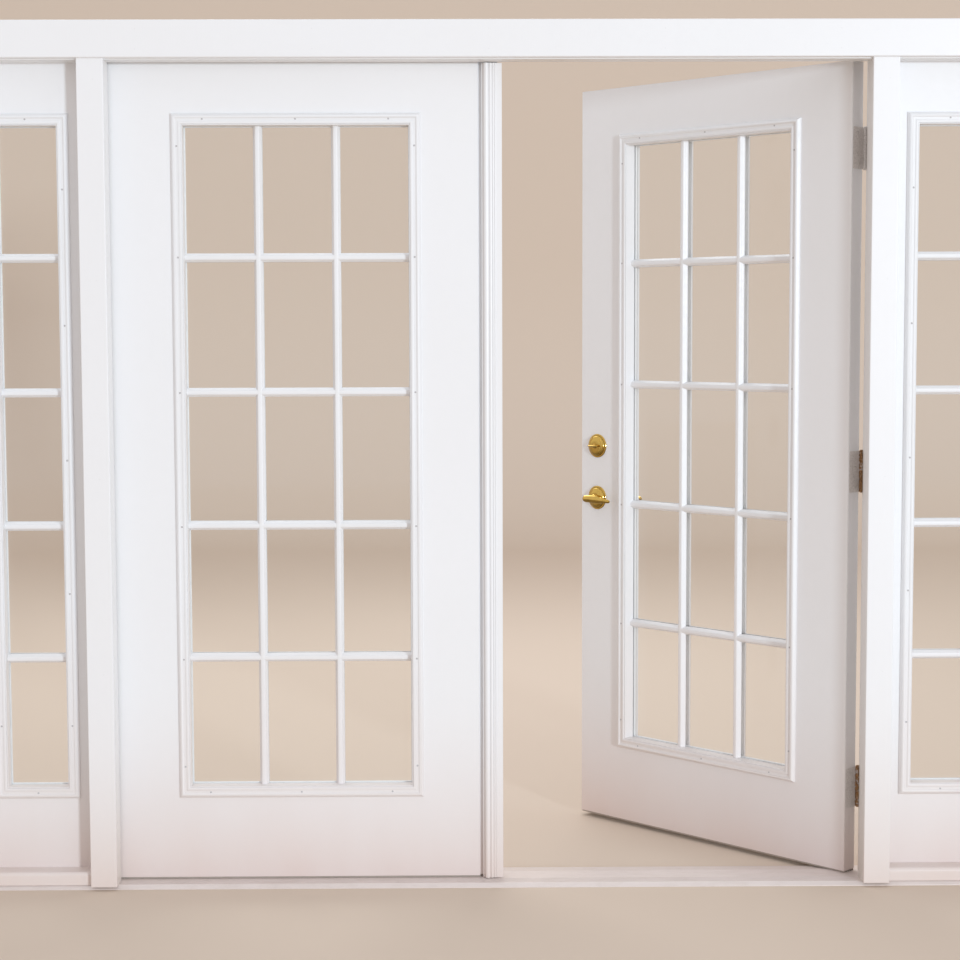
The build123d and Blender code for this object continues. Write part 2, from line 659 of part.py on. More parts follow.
# Astragal
def astragal():
    """The post between the leaves: a core behind and a reeded face with a flange in front."""
    groove = LOCK_EDGE + ASTRAGAL_GROOVE
    reed = groove + ASTRAGAL_FILLET
    flange = ASTRAGAL_SEAT + FLANGE_THICK
    face_foot = SILL_HEIGHT + ASTRAGAL_END
    with BuildPart() as post:
        with BuildSketch(Plane.XY.offset(LEAF_FOOT)):
            with BuildLine():
                Polyline(
                    (LOCK_EDGE, ASTRAGAL_GROOVE_DEPTH),
                    (groove, ASTRAGAL_GROOVE_DEPTH),
                    (groove, 0),
                    (ASTRAGAL_RIGHT, 0),
                    (ASTRAGAL_RIGHT, LEAF_THICK),
                    (LOCK_EDGE, LEAF_THICK),
                    close=True,
                )
            make_face()
        extrude(amount=LEAF_HEIGHT)
        with BuildSketch(Plane.XY.offset(face_foot)):
            with BuildLine():
                Polyline((groove, 0), (groove, -ASTRAGAL_FILLET_PROUD), (reed, -ASTRAGAL_FILLET_PROUD))
                Line((reed, -ASTRAGAL_FILLET_PROUD), (reed, -REED_SEAT))
                for width in ASTRAGAL_REEDS:
                    crest = (reed + width / 2, -REED_SEAT - REED_RISE * width)
                    ThreePointArc((reed, -REED_SEAT), crest, (reed + width, -REED_SEAT))
                    reed += width
                Polyline(
                    (reed, -REED_SEAT),
                    (reed, -flange),
                    (ASTRAGAL_LIP, -flange),
                    (ASTRAGAL_LIP, -ASTRAGAL_SEAT),
                    (ASTRAGAL_RIGHT, -ASTRAGAL_SEAT),
                    (ASTRAGAL_RIGHT, 0),
                    (groove, 0),
                )
            make_face()
        extrude(amount=HEAD_STOP_EDGE - ASTRAGAL_END - face_foot)
        flush_bolt_rail(LEAF_TOP - RAIL_BACK - RAIL_LENGTH - RAIL_THUMB, LEAF_TOP, SLIDE_CLEAR, Mode.SUBTRACT)
        flush_bolt_rail(
            LEAF_FOOT, LEAF_FOOT + RAIL_BACK + RAIL_LENGTH + RAIL_THUMB, SLIDE_CLEAR, Mode.SUBTRACT
        )
        for height, tall, deep, throw in LOCK_BOLTS:
            across = (-LOCK_EDGE - throw - POCKET_CLEAR, ASTRAGAL_RIGHT)
            pocket = (about(MID_THICK, deep + 2 * POCKET_CLEAR), about(height, tall + 2 * POCKET_CLEAR))
            block(across, *pocket, Mode.SUBTRACT)
            block(
                (ASTRAGAL_RIGHT - STRIKE_THICK, ASTRAGAL_RIGHT),
                about(MID_THICK, PLATE_WIDTH),
                about(height, PLATE_HEIGHT),
                Mode.SUBTRACT,
            )
    return post


def lock_strikes():
    """The two plates on the astragal that take the latch and the deadbolt."""
    with BuildPart() as plates:
        for height, tall, deep, throw in LOCK_BOLTS:
            across = (ASTRAGAL_RIGHT - STRIKE_THICK, ASTRAGAL_RIGHT)
            block(across, about(MID_THICK, PLATE_WIDTH), about(height, PLATE_HEIGHT))
            hole = (about(MID_THICK, deep + 2 * POCKET_CLEAR), about(height, tall + 2 * POCKET_CLEAR))
            block(across, *hole, Mode.SUBTRACT)
    return plates


def flush_bolt(foot):
    """A flush bolt, a rail that slides up or down in the astragal."""
    with BuildPart() as bolt:
        flush_bolt_rail(foot, foot + RAIL_LENGTH, 0)
    return bolt


def flush_bolt_strikes():
    """The plates in the head and the sill that the flush bolts shoot through."""
    with BuildPart() as plates:
        strike_plate(HEAD, HEAD + STRIKE_THICK)
        strike_hole(HEAD, HEAD + STRIKE_THICK)
        strike_plate(SILL_HEIGHT - STRIKE_THICK, SILL_HEIGHT)
        strike_hole(SILL_HEIGHT - STRIKE_THICK, SILL_HEIGHT)
    return plates


# Lock, drawn on the left leaf like the other leaf pieces
def disc(height, radius, start, end):
    """A many-sided disc on a bore's axis, from one place along Y to another."""
    with BuildPart() as piece:
        with BuildSketch(Plane(origin=(BORE_X, start, height), x_dir=(1, 0, 0), z_dir=(0, 1, 0))):
            RegularPolygon(radius, LOCK_SIDES)
        extrude(amount=end - start)
    return piece


def bevelled_disc(height, face, front, rim, bevel):
    """A disc seated on the slab over a bore, with its front bevelled down to a thin rim."""
    with BuildPart() as piece:
        add(disc(height, ROSE_RADIUS, face, front).part)
        end = piece.faces().sort_by(Axis.Y)[0 if front < face else -1]
        chamfer(end.edges(), bevel, abs(front - face) - rim, reference=end)
    return piece


def rose(height, face, out, hole):
    """A round plate with a bevelled rim and a hole for what turns in it."""
    front = face + out * ROSE_THICK
    with BuildPart() as plate:
        add(bevelled_disc(height, face, front, ROSE_RIM, ROSE_BEVEL).part)
        add(disc(height, hole / cos(pi / LOCK_SIDES), face, front).part, mode=Mode.SUBTRACT)
    return plate


def inside_roses():
    """The roses in the room, under the lever and under the deadbolt's turn."""
    with BuildPart() as roses:
        add(rose(LEVER_Z, 0, -1, NECK_RADIUS + TURN_CLEAR).part)
        add(rose(BOLT_Z, 0, -1, TURN_NECK + TURN_CLEAR).part)
    return roses


def lever(face, out):
    """A lever: a round neck and a tapering arm that curves off it and droops a little."""
    middle = face + out * LEVER_OUT
    with BuildPart() as handle:
        add(disc(LEVER_Z, NECK_RADIUS, face, middle).part)
        for along, drop, tall, deep in LEVER_STATIONS:
            place = (BORE_X - along * LEVER_LENGTH, middle - out * drop * LEVER_BEND, LEVER_Z - drop * LEVER_DROP)
            with BuildSketch(Plane(origin=place, x_dir=(0, 1, 0), z_dir=(-1, 0, 0))):
                turns = [2 * pi * corner / LEVER_SIDES for corner in range(LEVER_SIDES)]
                Polygon(*[(deep / 2 * cos(turn), tall / 2 * sin(turn)) for turn in turns], align=None)
        loft(ruled=True)
    return handle


def levers():
    """The levers inside and outside, on the square spindle that joins them."""
    with BuildPart() as handles:
        add(lever(0, -1).part)
        add(lever(LEAF_THICK, 1).part)
        block(about(BORE_X, SPINDLE), (0, LEAF_THICK), about(LEVER_Z, SPINDLE))
    return handles


def latch_bolt():
    """The sprung latch: a bar with its inner side bevelled, which rides over the strike."""
    tip = LOCK_EDGE + LATCH_THROW
    near = MID_THICK - LATCH_WIDTH / 2
    far = MID_THICK + LATCH_WIDTH / 2
    with BuildPart() as bolt:
        with BuildSketch(Plane.XY.offset(LEVER_Z - LATCH_HEIGHT / 2)):
            with BuildLine():
                Polyline(
                    (tip - LATCH_LENGTH, near),
                    (tip - LATCH_BEVEL, near),
                    (tip, far - LATCH_WIDTH + LATCH_BEVEL),
                    (tip, far),
                    (tip - LATCH_LENGTH, far),
                    close=True,
                )
            make_face()
        extrude(amount=LATCH_HEIGHT)
    return bolt


def deadbolt_bolt():
    """The square bolt, drawn back flush with the leaf's edge."""
    with BuildPart() as bolt:
        block((LOCK_EDGE - BOLT_LENGTH, LOCK_EDGE), about(MID_THICK, BOLT_WIDTH), about(BOLT_Z, BOLT_HEIGHT))
        fillet(bolt.edges().filter_by(Axis.Z).group_by(Axis.X)[-1], BOLT_ROUND)
    return bolt


def lock_faceplates():
    """The plates in the leaf's edge, each with the round case that its bolt slides in."""
    case = EDGE_BORE - CASE_CLEAR
    with BuildPart() as plates:
        for height, tall, deep, throw in LOCK_BOLTS:
            block((LOCK_EDGE - PLATE_THICK, LOCK_EDGE), about(MID_THICK, PLATE_WIDTH), about(height, PLATE_HEIGHT))
            with Locations((LOCK_EDGE - CASE_LENGTH / 2, MID_THICK, height)):
                Cylinder(case, CASE_LENGTH, rotation=(0, 90, 0))
            block(
                (LOCK_EDGE - CASE_LENGTH, LOCK_EDGE),
                about(MID_THICK, deep + 2 * SLIDE_CLEAR),
                about(height, tall + 2 * SLIDE_CLEAR),
                Mode.SUBTRACT,
            )
    return plates


def thumbturn():
    """The deadbolt's turn inside: a neck, an eight-sided paddle across it, and the tailpiece behind."""
    near = -ROSE_THICK - TURN_CLEAR
    far = near - TURN_OUT
    tall = TURN_WIDTH / 2
    flat = tall - TURN_CORNER_WIDE
    with BuildPart() as turn:
        add(disc(BOLT_Z, TURN_NECK, 0, near - TURN_OUT / 2).part)
        with BuildSketch(Plane.YZ.offset(BORE_X - TURN_THICK / 2)):
            with BuildLine():
                Polyline(
                    (near, BOLT_Z - flat),
                    (near - TURN_CORNER_DEEP, BOLT_Z - tall),
                    (far + TURN_CORNER_DEEP, BOLT_Z - tall),
                    (far, BOLT_Z - flat),
                    (far, BOLT_Z + flat),
                    (far + TURN_CORNER_DEEP, BOLT_Z + tall),
                    (near - TURN_CORNER_DEEP, BOLT_Z + tall),
                    (near, BOLT_Z + flat),
                    close=True,
                )
            make_face()
        extrude(amount=TURN_THICK)
        block(about(BORE_X, TAILPIECE), (0, LEAF_THICK - TAILPIECE / 2), about(BOLT_Z, TAILPIECE))
    return turn


def deadbolt_cylinder():
    """The key cylinder outside: a tapered collar and its plug, with a plain slot for the key."""
    collar = LEAF_THICK + CYLINDER_THICK
    plug = collar + PLUG_PROUD
    with BuildPart() as cylinder:
        add(bevelled_disc(BOLT_Z, LEAF_THICK, collar, CYLINDER_RIM, ROSE_RADIUS - CYLINDER_RADIUS).part)
        add(disc(BOLT_Z, PLUG_RADIUS, collar, plug).part)
        block(about(BORE_X, KEYWAY), (plug - KEYWAY_DEPTH, plug), about(BOLT_Z, PLUG_RADIUS), Mode.SUBTRACT)
    return cylinder


os.makedirs("parts", exist_ok=True)

# Pieces of the frame that stand alone
write(head_jamb(), "head_jamb")
write(sill(), "sill")
write(head_casing(), "head_casing")
write(brickmould_head(), "head_brickmould")
write(head_weatherstrip(), "head_weatherstrip")
write(flush_bolt_strikes(), "flush_bolt_strikes")

# Pieces of the frame on both sides
panel = (-JAMB + PANEL_GAP, -LIGHT_RABBET - PANEL_GAP)
frame_pairs = {
    "jamb": left_jamb(),
    "mullion": left_mullion(),
    "casing": left_casing(),
    "mullion_cover": left_mullion_cover(),
    "brickmould": brickmould_left(),
    "weatherstrip": left_weatherstrip(),
    "jamb_hinges": hinge_plates((-RABBET - HINGE_THICK, -RABBET), 0, True),
    "sidelight_panel": slab(panel[0], panel[1], SILL_HEIGHT, PANEL_MIDDLE, PANEL_LITE_WIDTH),
    "sidelight_inside_frame": inside_frame(PANEL_MIDDLE, PANEL_LITE_WIDTH, 1),
    "sidelight_outside_frame": outside_frame(PANEL_MIDDLE, PANEL_LITE_WIDTH, 1),
    "sidelight_glass": glass_pane(PANEL_MIDDLE, PANEL_LITE_WIDTH),
    "sidelight_base": left_sidelight_base(),
}
for name, piece in frame_pairs.items():
    write(piece, f"left_{name}")
    write(mirrored(piece), f"right_{name}")

# Pieces that both leaves have
leaf_pairs = {
    "inside_frame": inside_frame(LITE_MIDDLE, LITE_WIDTH, LITE_COLUMNS),
    "outside_frame": outside_frame(LITE_MIDDLE, LITE_WIDTH, LITE_COLUMNS),
    "glass": glass_pane(LITE_MIDDLE, LITE_WIDTH),
    "sweep": left_sweep(),
    "door_hinges": hinge_plates((HINGE_EDGE, HINGE_EDGE + HINGE_THICK), 1, False),
}
for name, piece in leaf_pairs.items():
    write(piece, f"left_{name}")
    write(swung(piece), f"right_{name}")

# The left leaf's own pieces
write(leaf_slab(), "left_slab")
write(astragal(), "astragal")
write(astragal_seal(), "astragal_seal")
write(lock_strikes(), "lock_strikes")
write(flush_bolt(LEAF_TOP - RAIL_BACK - RAIL_LENGTH), "top_flush_bolt")
write(flush_bolt(LEAF_FOOT + RAIL_BACK), "bottom_flush_bolt")

# The right leaf's own pieces
right_leaf = {
    "right_slab": lock_slab(),
    "inside_roses": inside_roses(),
    "outside_rose": rose(LEVER_Z, LEAF_THICK, 1, NECK_RADIUS + TURN_CLEAR),
    "levers": levers(),
    "latch_bolt": latch_bolt(),
    "lock_faceplates": lock_faceplates(),
    "thumbturn": thumbturn(),
    "deadbolt_cylinder": deadbolt_cylinder(),
    "deadbolt_bolt": deadbolt_bolt(),
}
for name, piece in right_leaf.items():
    write(swung(piece), name)
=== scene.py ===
import json
from math import cos, pi, radians, sin, sqrt

import bmesh
import bpy
from mathutils import Matrix, Vector


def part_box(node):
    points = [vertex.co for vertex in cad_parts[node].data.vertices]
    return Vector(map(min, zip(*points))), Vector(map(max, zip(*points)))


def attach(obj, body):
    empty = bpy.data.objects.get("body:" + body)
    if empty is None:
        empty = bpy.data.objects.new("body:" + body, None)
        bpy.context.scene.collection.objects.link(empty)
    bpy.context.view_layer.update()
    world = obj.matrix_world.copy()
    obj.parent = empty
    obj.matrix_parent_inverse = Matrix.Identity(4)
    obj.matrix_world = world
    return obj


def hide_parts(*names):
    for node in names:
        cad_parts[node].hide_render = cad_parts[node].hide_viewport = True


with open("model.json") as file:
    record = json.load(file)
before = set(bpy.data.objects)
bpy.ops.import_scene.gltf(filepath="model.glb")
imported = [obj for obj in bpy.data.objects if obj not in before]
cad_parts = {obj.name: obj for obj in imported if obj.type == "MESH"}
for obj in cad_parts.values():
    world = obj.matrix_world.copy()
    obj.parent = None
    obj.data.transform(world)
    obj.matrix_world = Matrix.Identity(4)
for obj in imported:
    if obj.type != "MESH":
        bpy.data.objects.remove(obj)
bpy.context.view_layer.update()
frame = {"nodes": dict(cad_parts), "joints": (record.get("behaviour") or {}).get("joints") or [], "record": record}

# Places taken from the frame. Leaf pieces are drawn on the left side, with the leaf closed.
hinge = next(joint for joint in frame["joints"] if joint["name"] == "right_leaf_hinge")
OPEN = radians(-hinge["range_deg"][0])
PIN = Vector(hinge["pos_m"])
PIN.z = 0
STAY = Matrix.Identity(4)
MIRROR = Matrix.Scale(-1, 4, (1, 0, 0))
SWING = Matrix.Translation(PIN) @ Matrix.Rotation(-OPEN, 4, "Z") @ Matrix.Translation(-PIN) @ MIRROR
FACE_IN, FACE_OUT = (corner.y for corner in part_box("left_slab"))

# Glazed inserts, in metres: distances in from the border's outer edge, and rises above the slab's face
ROWS = 5
BORDER = 0.029
WALL_INSET = 0.020          # where the wall that runs in to the glass starts
OUTER_RISE = 0.0032
EASE = 0.0006               # on the border's sharp edges
SLOPE_WIDTH = 0.0068
SLOPE_SHARES = (0.3, 0.6, 0.85)
SLOPE_CURVE = 1.5           # how soon the slope up to the crest flattens
CREST = 0.0090
CREST_RISE = 0.0110
CREST_TOP = 0.0012
CREST_FALL = 0.0004         # from one side of the crest's top to the other
CHANNEL = (0.0130, 0.0176)
CHANNEL_RISE = 0.0076
BEAD_ENDS = (0.0188, 0.0260)
BEAD_RISE = 0.0090
BEAD_STEPS = 8
GROOVE = (0.0262, 0.0267)   # between the bead and the lip
GROOVE_DEPTH = 0.0004
LIP = 0.0269
LIP_RISE = 0.0056
LIP_EASE = 0.0008
PLUG_INSET = 0.0158
PLUG_END_INSET = 0.0143
PLUG_FROM_END = 0.079       # from an insert's end to the first plug up its side
PLUG_FROM_SIDE = 0.078      # and from its side to the first plug along its end
PLUG_RADIUS = 0.0026
PLUG_FLATNESS = 0.42
PLUG_SINK = 0.0002

# Glazing bars and glass
BAR_FOOT = 0.0215
BAR_SIDE = ((0.0, 0.0030), (0.0010, 0.0044), (0.0034, 0.0080))  # in from the foot, and up from the glass
BAR_NOSE = 0.0045           # half the width of a bar's front
BAR_ROUND = ((0.0010, 0.0012), (0.0, 0.0003), (-0.0010, 0.0))   # out from the nose, and down from the front
BAR_RISE = 0.0140
BAR_BITE = 0.006            # how far a bar runs in behind the border
CROSS_SHARE = 0.98          # a cross bar's height over an upright bar's, so that their fronts don't meet
GLASS_GAP = 0.0003
PANE = 0.003
SPACER_IN = 0.0075
SPACER_DEPTH = 0.0067
SPACER_FOLD = 0.0012

# Hinges. A plate is given by the places of its two faces.
HINGE_HEIGHTS = (0.224, 1.0185, 1.813)
HINGE_HEIGHT = 0.102
JAMB_PLATE = (-0.9295, -0.927)
DOOR_PLATE = (-0.9242, -0.9215)
JAMB_REACH = 0.038          # from the pin to a plate's far edge
DOOR_REACH = 0.0485
PLATE_CORNER = 0.004
KNUCKLES = 5
KNUCKLE_RADIUS = 0.006
KNUCKLE_GAP = 0.0003
KNUCKLE_CLEAR = 0.0006      # from the knuckles to the plates beside them
KNUCKLE_BITE = 0.001        # how far a knuckle's strap runs into its plate
KNUCKLE_EASE = 0.0005
PIN_BUTTON = ((0, 0), (0.0043, 0), (0.0045, 0.0004), (0.0045, 0.0012), (0.0038, 0.0019), (0.0022, 0.0024),
              (0, 0.0025))
HINGE_SCREW_PLACES = ((-0.038, 0.022), (-0.013, 0.030), (0.013, 0.022), (0.038, 0.030))  # up, and in
HINGE_SCREW = {"Radius": 0.0042, "Rise": 0.0008, "Recess": 0.0011}
SCREW_LIFT = 0.0001
RECESS_REACH = 1.15         # the whole length of a cross recess over its head's radius

# Filled nail heads in the trim
NAIL_PITCH = 0.41
NAIL_RADIUS = 0.0019
NAIL_FLATNESS = 0.12
NAIL_SINK = 0.0002
HEAD_NAIL_END = 0.09
HEAD_NAIL_ROWS = (0.020, 0.022)  # in from the head's lower and upper edges
COVER_NAIL_END = 0.05
COVER_NAIL_SHARE = 0.62     # of a cover's width, from its left edge

# Lock. Outlines of turned shapes are points of radius and distance from the leaf's face.
BORE_X = -0.085
LOCK_EDGE = -0.025
LEVER_Z = 0.905
BOLT_Z = 1.049
ROSE_RADIUS = 0.0325
ROSE_RISE = 0.012
ROSE_RIM = ((0, 0), (ROSE_RADIUS, 0), (ROSE_RADIUS, 0.0018), (ROSE_RADIUS - 0.0008, 0.0030),
            (ROSE_RADIUS - 0.0038, 0.0032))
DOME_FOOT = (0.0281, 0.0024)
DOME_CROWN = 0.0130         # radius where the dome goes flat
DOME_STEPS = 8
COLLAR_RISE = 0.0008
COLLAR_WIDTHS = (0.0022, 0.0018, 0.0003)  # its foot, edge and bore, out from the hub
LEVER_OUT = 0.050
LEVER_REACH = 0.086
LEVER_DROP = 0.004
LEVER_BEND = 0.006
LEVER_HEEL = 0.0085         # past the neck's axis
LEVER_ENDS = (0.009, 0.006)  # lengths over which the heel and the tip round off
LEVER_STATIONS = (          # share of the reach, share of the drop, height and depth of the section
    (0.00, 0.00, 0.0185, 0.0165),
    (0.18, 0.00, 0.0200, 0.0155),
    (0.45, 0.16, 0.0210, 0.0125),
    (0.70, 0.50, 0.0160, 0.0105),
    (0.90, 0.88, 0.0105, 0.0090),
    (1.00, 1.00, 0.0080, 0.0070),
)
LEVER_RIDGE = 0.5           # how far the arm's section goes from round to ridged
RIDGE_START = 0.25          # share of the reach over which it gets there
LEVER_RINGS = 44
LEVER_SIDES = 32
NECK_RADIUS = 0.0085
LEVER_NECK = ((0, 0), (NECK_RADIUS, 0), (NECK_RADIUS, 0.0120), (NECK_RADIUS + 0.0012, 0.0135),
              (NECK_RADIUS + 0.0012, 0.0160), (NECK_RADIUS - 0.0006, 0.0180), (NECK_RADIUS - 0.0008, 0.0300),
              (NECK_RADIUS, LEVER_OUT - 0.003), (0.006, LEVER_OUT + 0.004), (0, LEVER_OUT + 0.005))
SPINDLE_HALF = 0.004
TURN_HUB = 0.0055
TURN_NECK = ((0, 0), (TURN_HUB, 0), (TURN_HUB, ROSE_RISE), (0.0065, ROSE_RISE + 0.0006),
             (0.0065, ROSE_RISE + 0.0020), (0.0045, ROSE_RISE + 0.0035), (0.0035, ROSE_RISE + 0.0080),
             (0, ROSE_RISE + 0.0090))
PADDLE_HALF = (0.0170, 0.0082, 0.0034)  # along, out and up
PADDLE_OUT = 0.0078         # from the rose's top to the paddle's middle
PADDLE_RINGS = 20
PADDLE_SIDES = 24
TAILPIECE_HALF = 0.002
KEY_CYLINDER = ((0, 0), (ROSE_RADIUS, 0), (ROSE_RADIUS, 0.0015), (0.0245, 0.0126), (0.0232, 0.0138),
                (0.0215, 0.0140), (0.0092, 0.0140), (0.0088, 0.0134), (0.0080, 0.0134), (0.0080, 0.0149),
                (0.0022, 0.0149), (0.0018, 0.0120), (0, 0.0120))
PLATE_SCREW_UP = 0.0225     # from a faceplate's middle
PLATE_SCREW = {"Radius": 0.0032, "Rise": 0.0006, "Recess": 0.0009}


# Mesh tools
def finished(bm, name, smooth=35, merge=True):
    """The mesh of a bmesh: doubles merged, normals outwards, shaded smooth up to an angle in degrees."""
    if merge:
        bmesh.ops.remove_doubles(bm, verts=bm.verts, dist=1e-6)
    bmesh.ops.recalc_face_normals(bm, faces=bm.faces)
    mesh = bpy.data.meshes.new(name)
    bm.to_mesh(mesh)
    bm.free()
    mesh.shade_smooth()
    mesh.set_sharp_from_angle(angle=radians(smooth))
    return mesh


def add_box(bm, low, high):
    """A closed box between two corners."""
    made = bmesh.ops.create_cube(bm, size=1)["verts"]
    low, high = Vector(low), Vector(high)
    for vert in made:
        vert.co = Vector(map(lambda a, b, t: a + (b - a) * (t + 0.5), low, high, vert.co))


def add_rings(bm, rings, cap=True):
    """Skin between rings of the same number of points, closed at both ends."""
    loops = [[bm.verts.new(point) for point in ring] for ring in rings]
    count = len(loops[0])
    for lower, upper in zip(loops, loops[1:]):
        for i in range(count):
            j = (i + 1) % count
            bm.faces.new((lower[i], lower[j], upper[j], upper[i]))
    if cap:
        bm.faces.new(loops[0])
        bm.faces.new(loops[-1][::-1])


def add_frame(bm, section, low, high):
    """A section carried round a rectangle: its points are distances in from the edge, and places along Y."""
    rings = []
    for inset, y in (*section, section[0]):
        rings.append([(low.x + inset, y, low.z + inset), (high.x - inset, y, low.z + inset),
                      (high.x - inset, y, high.z - inset), (low.x + inset, y, high.z - inset)])
    add_rings(bm, rings, cap=False)


def add_turned(bm, outline, middle, axis, segments=40):
    """A shape turned round an axis through middle, from points of radius and distance along the axis."""
    axis = Vector(axis).normalized()
    side = axis.orthogonal().normalized()
    other = axis.cross(side)
    rings = []
    for radius, along in outline:
        radius = max(radius, 1e-5)
        ring = []
        for step in range(segments):
            turn = 2 * pi * step / segments
            ring.append(Vector(middle) + axis * along + (side * cos(turn) + other * sin(turn)) * radius)
        rings.append(ring)
    add_rings(bm, rings)


def rounded(points, radius, steps=4):
    """A closed outline with each of its corners rounded off."""
    result = []
    count = len(points)
    for i in range(count):
        before, here, after = (Vector(points[(i + k) % count]) for k in (-1, 0, 1))
        start = here + (before - here).normalized() * min(radius, (before - here).length / 2)
        end = here + (after - here).normalized() * min(radius, (after - here).length / 2)
        for step in range(steps + 1):
            t = step / steps
            result.append(start * (1 - t) ** 2 + here * 2 * t * (1 - t) + end * t ** 2)
    return result


def piece(name, mesh, body, material, place=STAY, stands_for=()):
    """A finished mesh as an object at the origin that rides on its body."""
    mesh = mesh.copy()
    mesh.name = name
    mesh.transform(place)
    if place.determinant() < 0:
        mesh.flip_normals()
    mesh.materials.clear()
    mesh.materials.append(material)
    made = bpy.data.objects.new(name, mesh)
    bpy.context.scene.collection.objects.link(made)
    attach(made, body)
    if stands_for:
        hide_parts(*stands_for)


# Node tools
class Tree:
    """A node tree, with short calls that add its nodes and join them up."""

    def join(self, value, socket):
        if isinstance(value, bpy.types.NodeSocket):
            self.tree.links.new(value, socket)
        else:
            socket.default_value = value

    def node(self, kind, settings=None, **inputs):
        made = self.tree.nodes.new(kind)
        for key, value in (settings or {}).items():
            setattr(made, key, value)
        for key, value in inputs.items():
            self.join(value, made.inputs[key.replace("_", " ")])
        return made

    def math(self, kind, first, second):
        made = self.node("ShaderNodeMath", {"operation": kind})
        self.join(first, made.inputs[0])
        self.join(second, made.inputs[1])
        return made.outputs[0]


class Finish(Tree):
    """A material, with short calls for the patterns and coats that finishes share."""

    def __init__(self, name):
        self.material = bpy.data.materials.new(name)
        self.material.use_nodes = True
        self.tree = self.material.node_tree
        self.tree.nodes.clear()
        self.out = self.add("OutputMaterial")
        self.at = self.add("TexCoord").outputs["Object"]

    def add(self, kind, settings=None, **inputs):
        """A shader node."""
        return self.node("ShaderNode" + kind, settings, **inputs)

    def noise(self, scale, detail=3.0, stretch=(1, 1, 1), roughness=0.5):
        at = self.add("Mapping", Vector=self.at, Scale=stretch).outputs[0]
        made = self.add("TexNoise", Vector=at, Scale=scale, Detail=detail, Roughness=roughness)
        return made.outputs["Fac"]

    def ramp(self, value, low, high, low_to=0.0, high_to=1.0):
        made = self.add("MapRange", {"clamp": True}, Value=value, From_Min=low, From_Max=high,
                        To_Min=low_to, To_Max=high_to)
        return made.outputs[0]

    def times(self, first, second):
        return self.math("MULTIPLY", first, second)

    def mix(self, share, first, second):
        made = self.add("Mix", {"data_type": "RGBA"})
        for value, index in ((share, 0), (first, 6), (second, 7)):
            if isinstance(value, tuple):
                value = (*value, 1.0)
            self.join(value, made.inputs[index])
        return made.outputs[2]

    def height(self):
        """How high a point of the surface is above the floor."""
        return self.add("SeparateXYZ", Vector=self.at).outputs["Z"]

    def soft_normal(self, radius):
        """Normals that round off sharp edges."""
        return self.add("Bevel", {"samples": 4}, Radius=radius).outputs[0]

    def edges(self, normal):
        """A mask of the edges that a soft normal rounds off."""
        turned = self.add("VectorMath", {"operation": "DOT_PRODUCT"})
        self.join(normal, turned.inputs[0])
        self.join(self.add("NewGeometry").outputs["Normal"], turned.inputs[1])
        return self.ramp(turned.outputs["Value"], 0.99, 0.75)

    def bump(self, height, distance, normal):
        return self.add("Bump", Height=height, Distance=distance, Normal=normal).outputs[0]

    def surface(self, colour, roughness, normal, **rest):
        """The shader, with uniform values given straight to its sockets."""
        shader = self.add("BsdfPrincipled", Base_Color=colour, Roughness=roughness, Normal=normal, **rest)
        self.join(shader.outputs[0], self.out.inputs["Surface"])
        return self.material


# Finishes
def paint(name, colour, shade, bounce_tint_and_wear, roughness, strokes):
    """Brushed or sprayed paint: a slightly uneven coat, painted warm floor-bounce light and shade towards the
    floor, and thin worn edges.
    """
    nodes = Finish(name)
    normal = nodes.soft_normal(0.0012)
    drift = nodes.ramp(nodes.noise(1.7, 4), 0.35, 0.7)
    mottle = nodes.ramp(nodes.noise(38, 5, roughness=0.6), 0.4, 0.75)
    base = nodes.mix(nodes.times(drift, 0.6), colour, shade)
    base = nodes.mix(nodes.times(mottle, 0.25), base, shade)
    # Painted light: a warm tint for floor-bounce light and shade, growing towards the floor in patches
    low = nodes.ramp(nodes.height(), 0.0, 0.55, 1.0, 0.0)
    bounce_patches = nodes.ramp(nodes.noise(5, 5, (1, 1, 0.4)), 0.3, 0.75, 0.65, 0.85)
    base = nodes.mix(nodes.times(nodes.times(low, low), bounce_patches), base, bounce_tint_and_wear)
    worn = nodes.times(nodes.edges(normal), nodes.ramp(nodes.noise(120, 4), 0.45, 0.7))
    base = nodes.mix(nodes.times(worn, 0.25), base, bounce_tint_and_wear)
    rough = nodes.ramp(nodes.noise(60, 4), 0.3, 0.8, roughness - 0.06, roughness + 0.1)
    peel = nodes.bump(nodes.noise(520, 2), 0.00006, normal)
    brushed = nodes.bump(nodes.noise(420, 3, (1, 1, 0.018), 0.6), strokes, peel)
    return nodes.surface(base, rough, brushed, Coat_Weight=0.08, Coat_Roughness=0.2)


def moulding():
    """Moulded white plastic: even, with painted warm floor-bounce light towards the floor, and dust in its
    corners.
    """
    nodes = Finish("insert_moulding")
    normal = nodes.soft_normal(0.0008)
    drift = nodes.ramp(nodes.noise(2.4, 3), 0.35, 0.7)
    base = nodes.mix(drift, (0.875, 0.88, 0.90), (0.845, 0.848, 0.86))
    # Painted light: a warm tint for floor-bounce light, growing towards the floor
    base = nodes.mix(nodes.ramp(nodes.height(), 0.05, 0.7, 0.6, 0.0), base, (0.80, 0.70, 0.66))
    dust = nodes.times(nodes.edges(normal), nodes.ramp(nodes.noise(90, 5), 0.42, 0.68))
    base = nodes.mix(nodes.times(dust, 0.22), base, (0.60, 0.55, 0.50))
    rough = nodes.ramp(nodes.noise(85, 3), 0.3, 0.75, 0.36, 0.48)
    grain = nodes.bump(nodes.noise(650, 2), 0.00003, normal)
    return nodes.surface(base, rough, grain, Coat_Weight=0.05, Coat_Roughness=0.3)


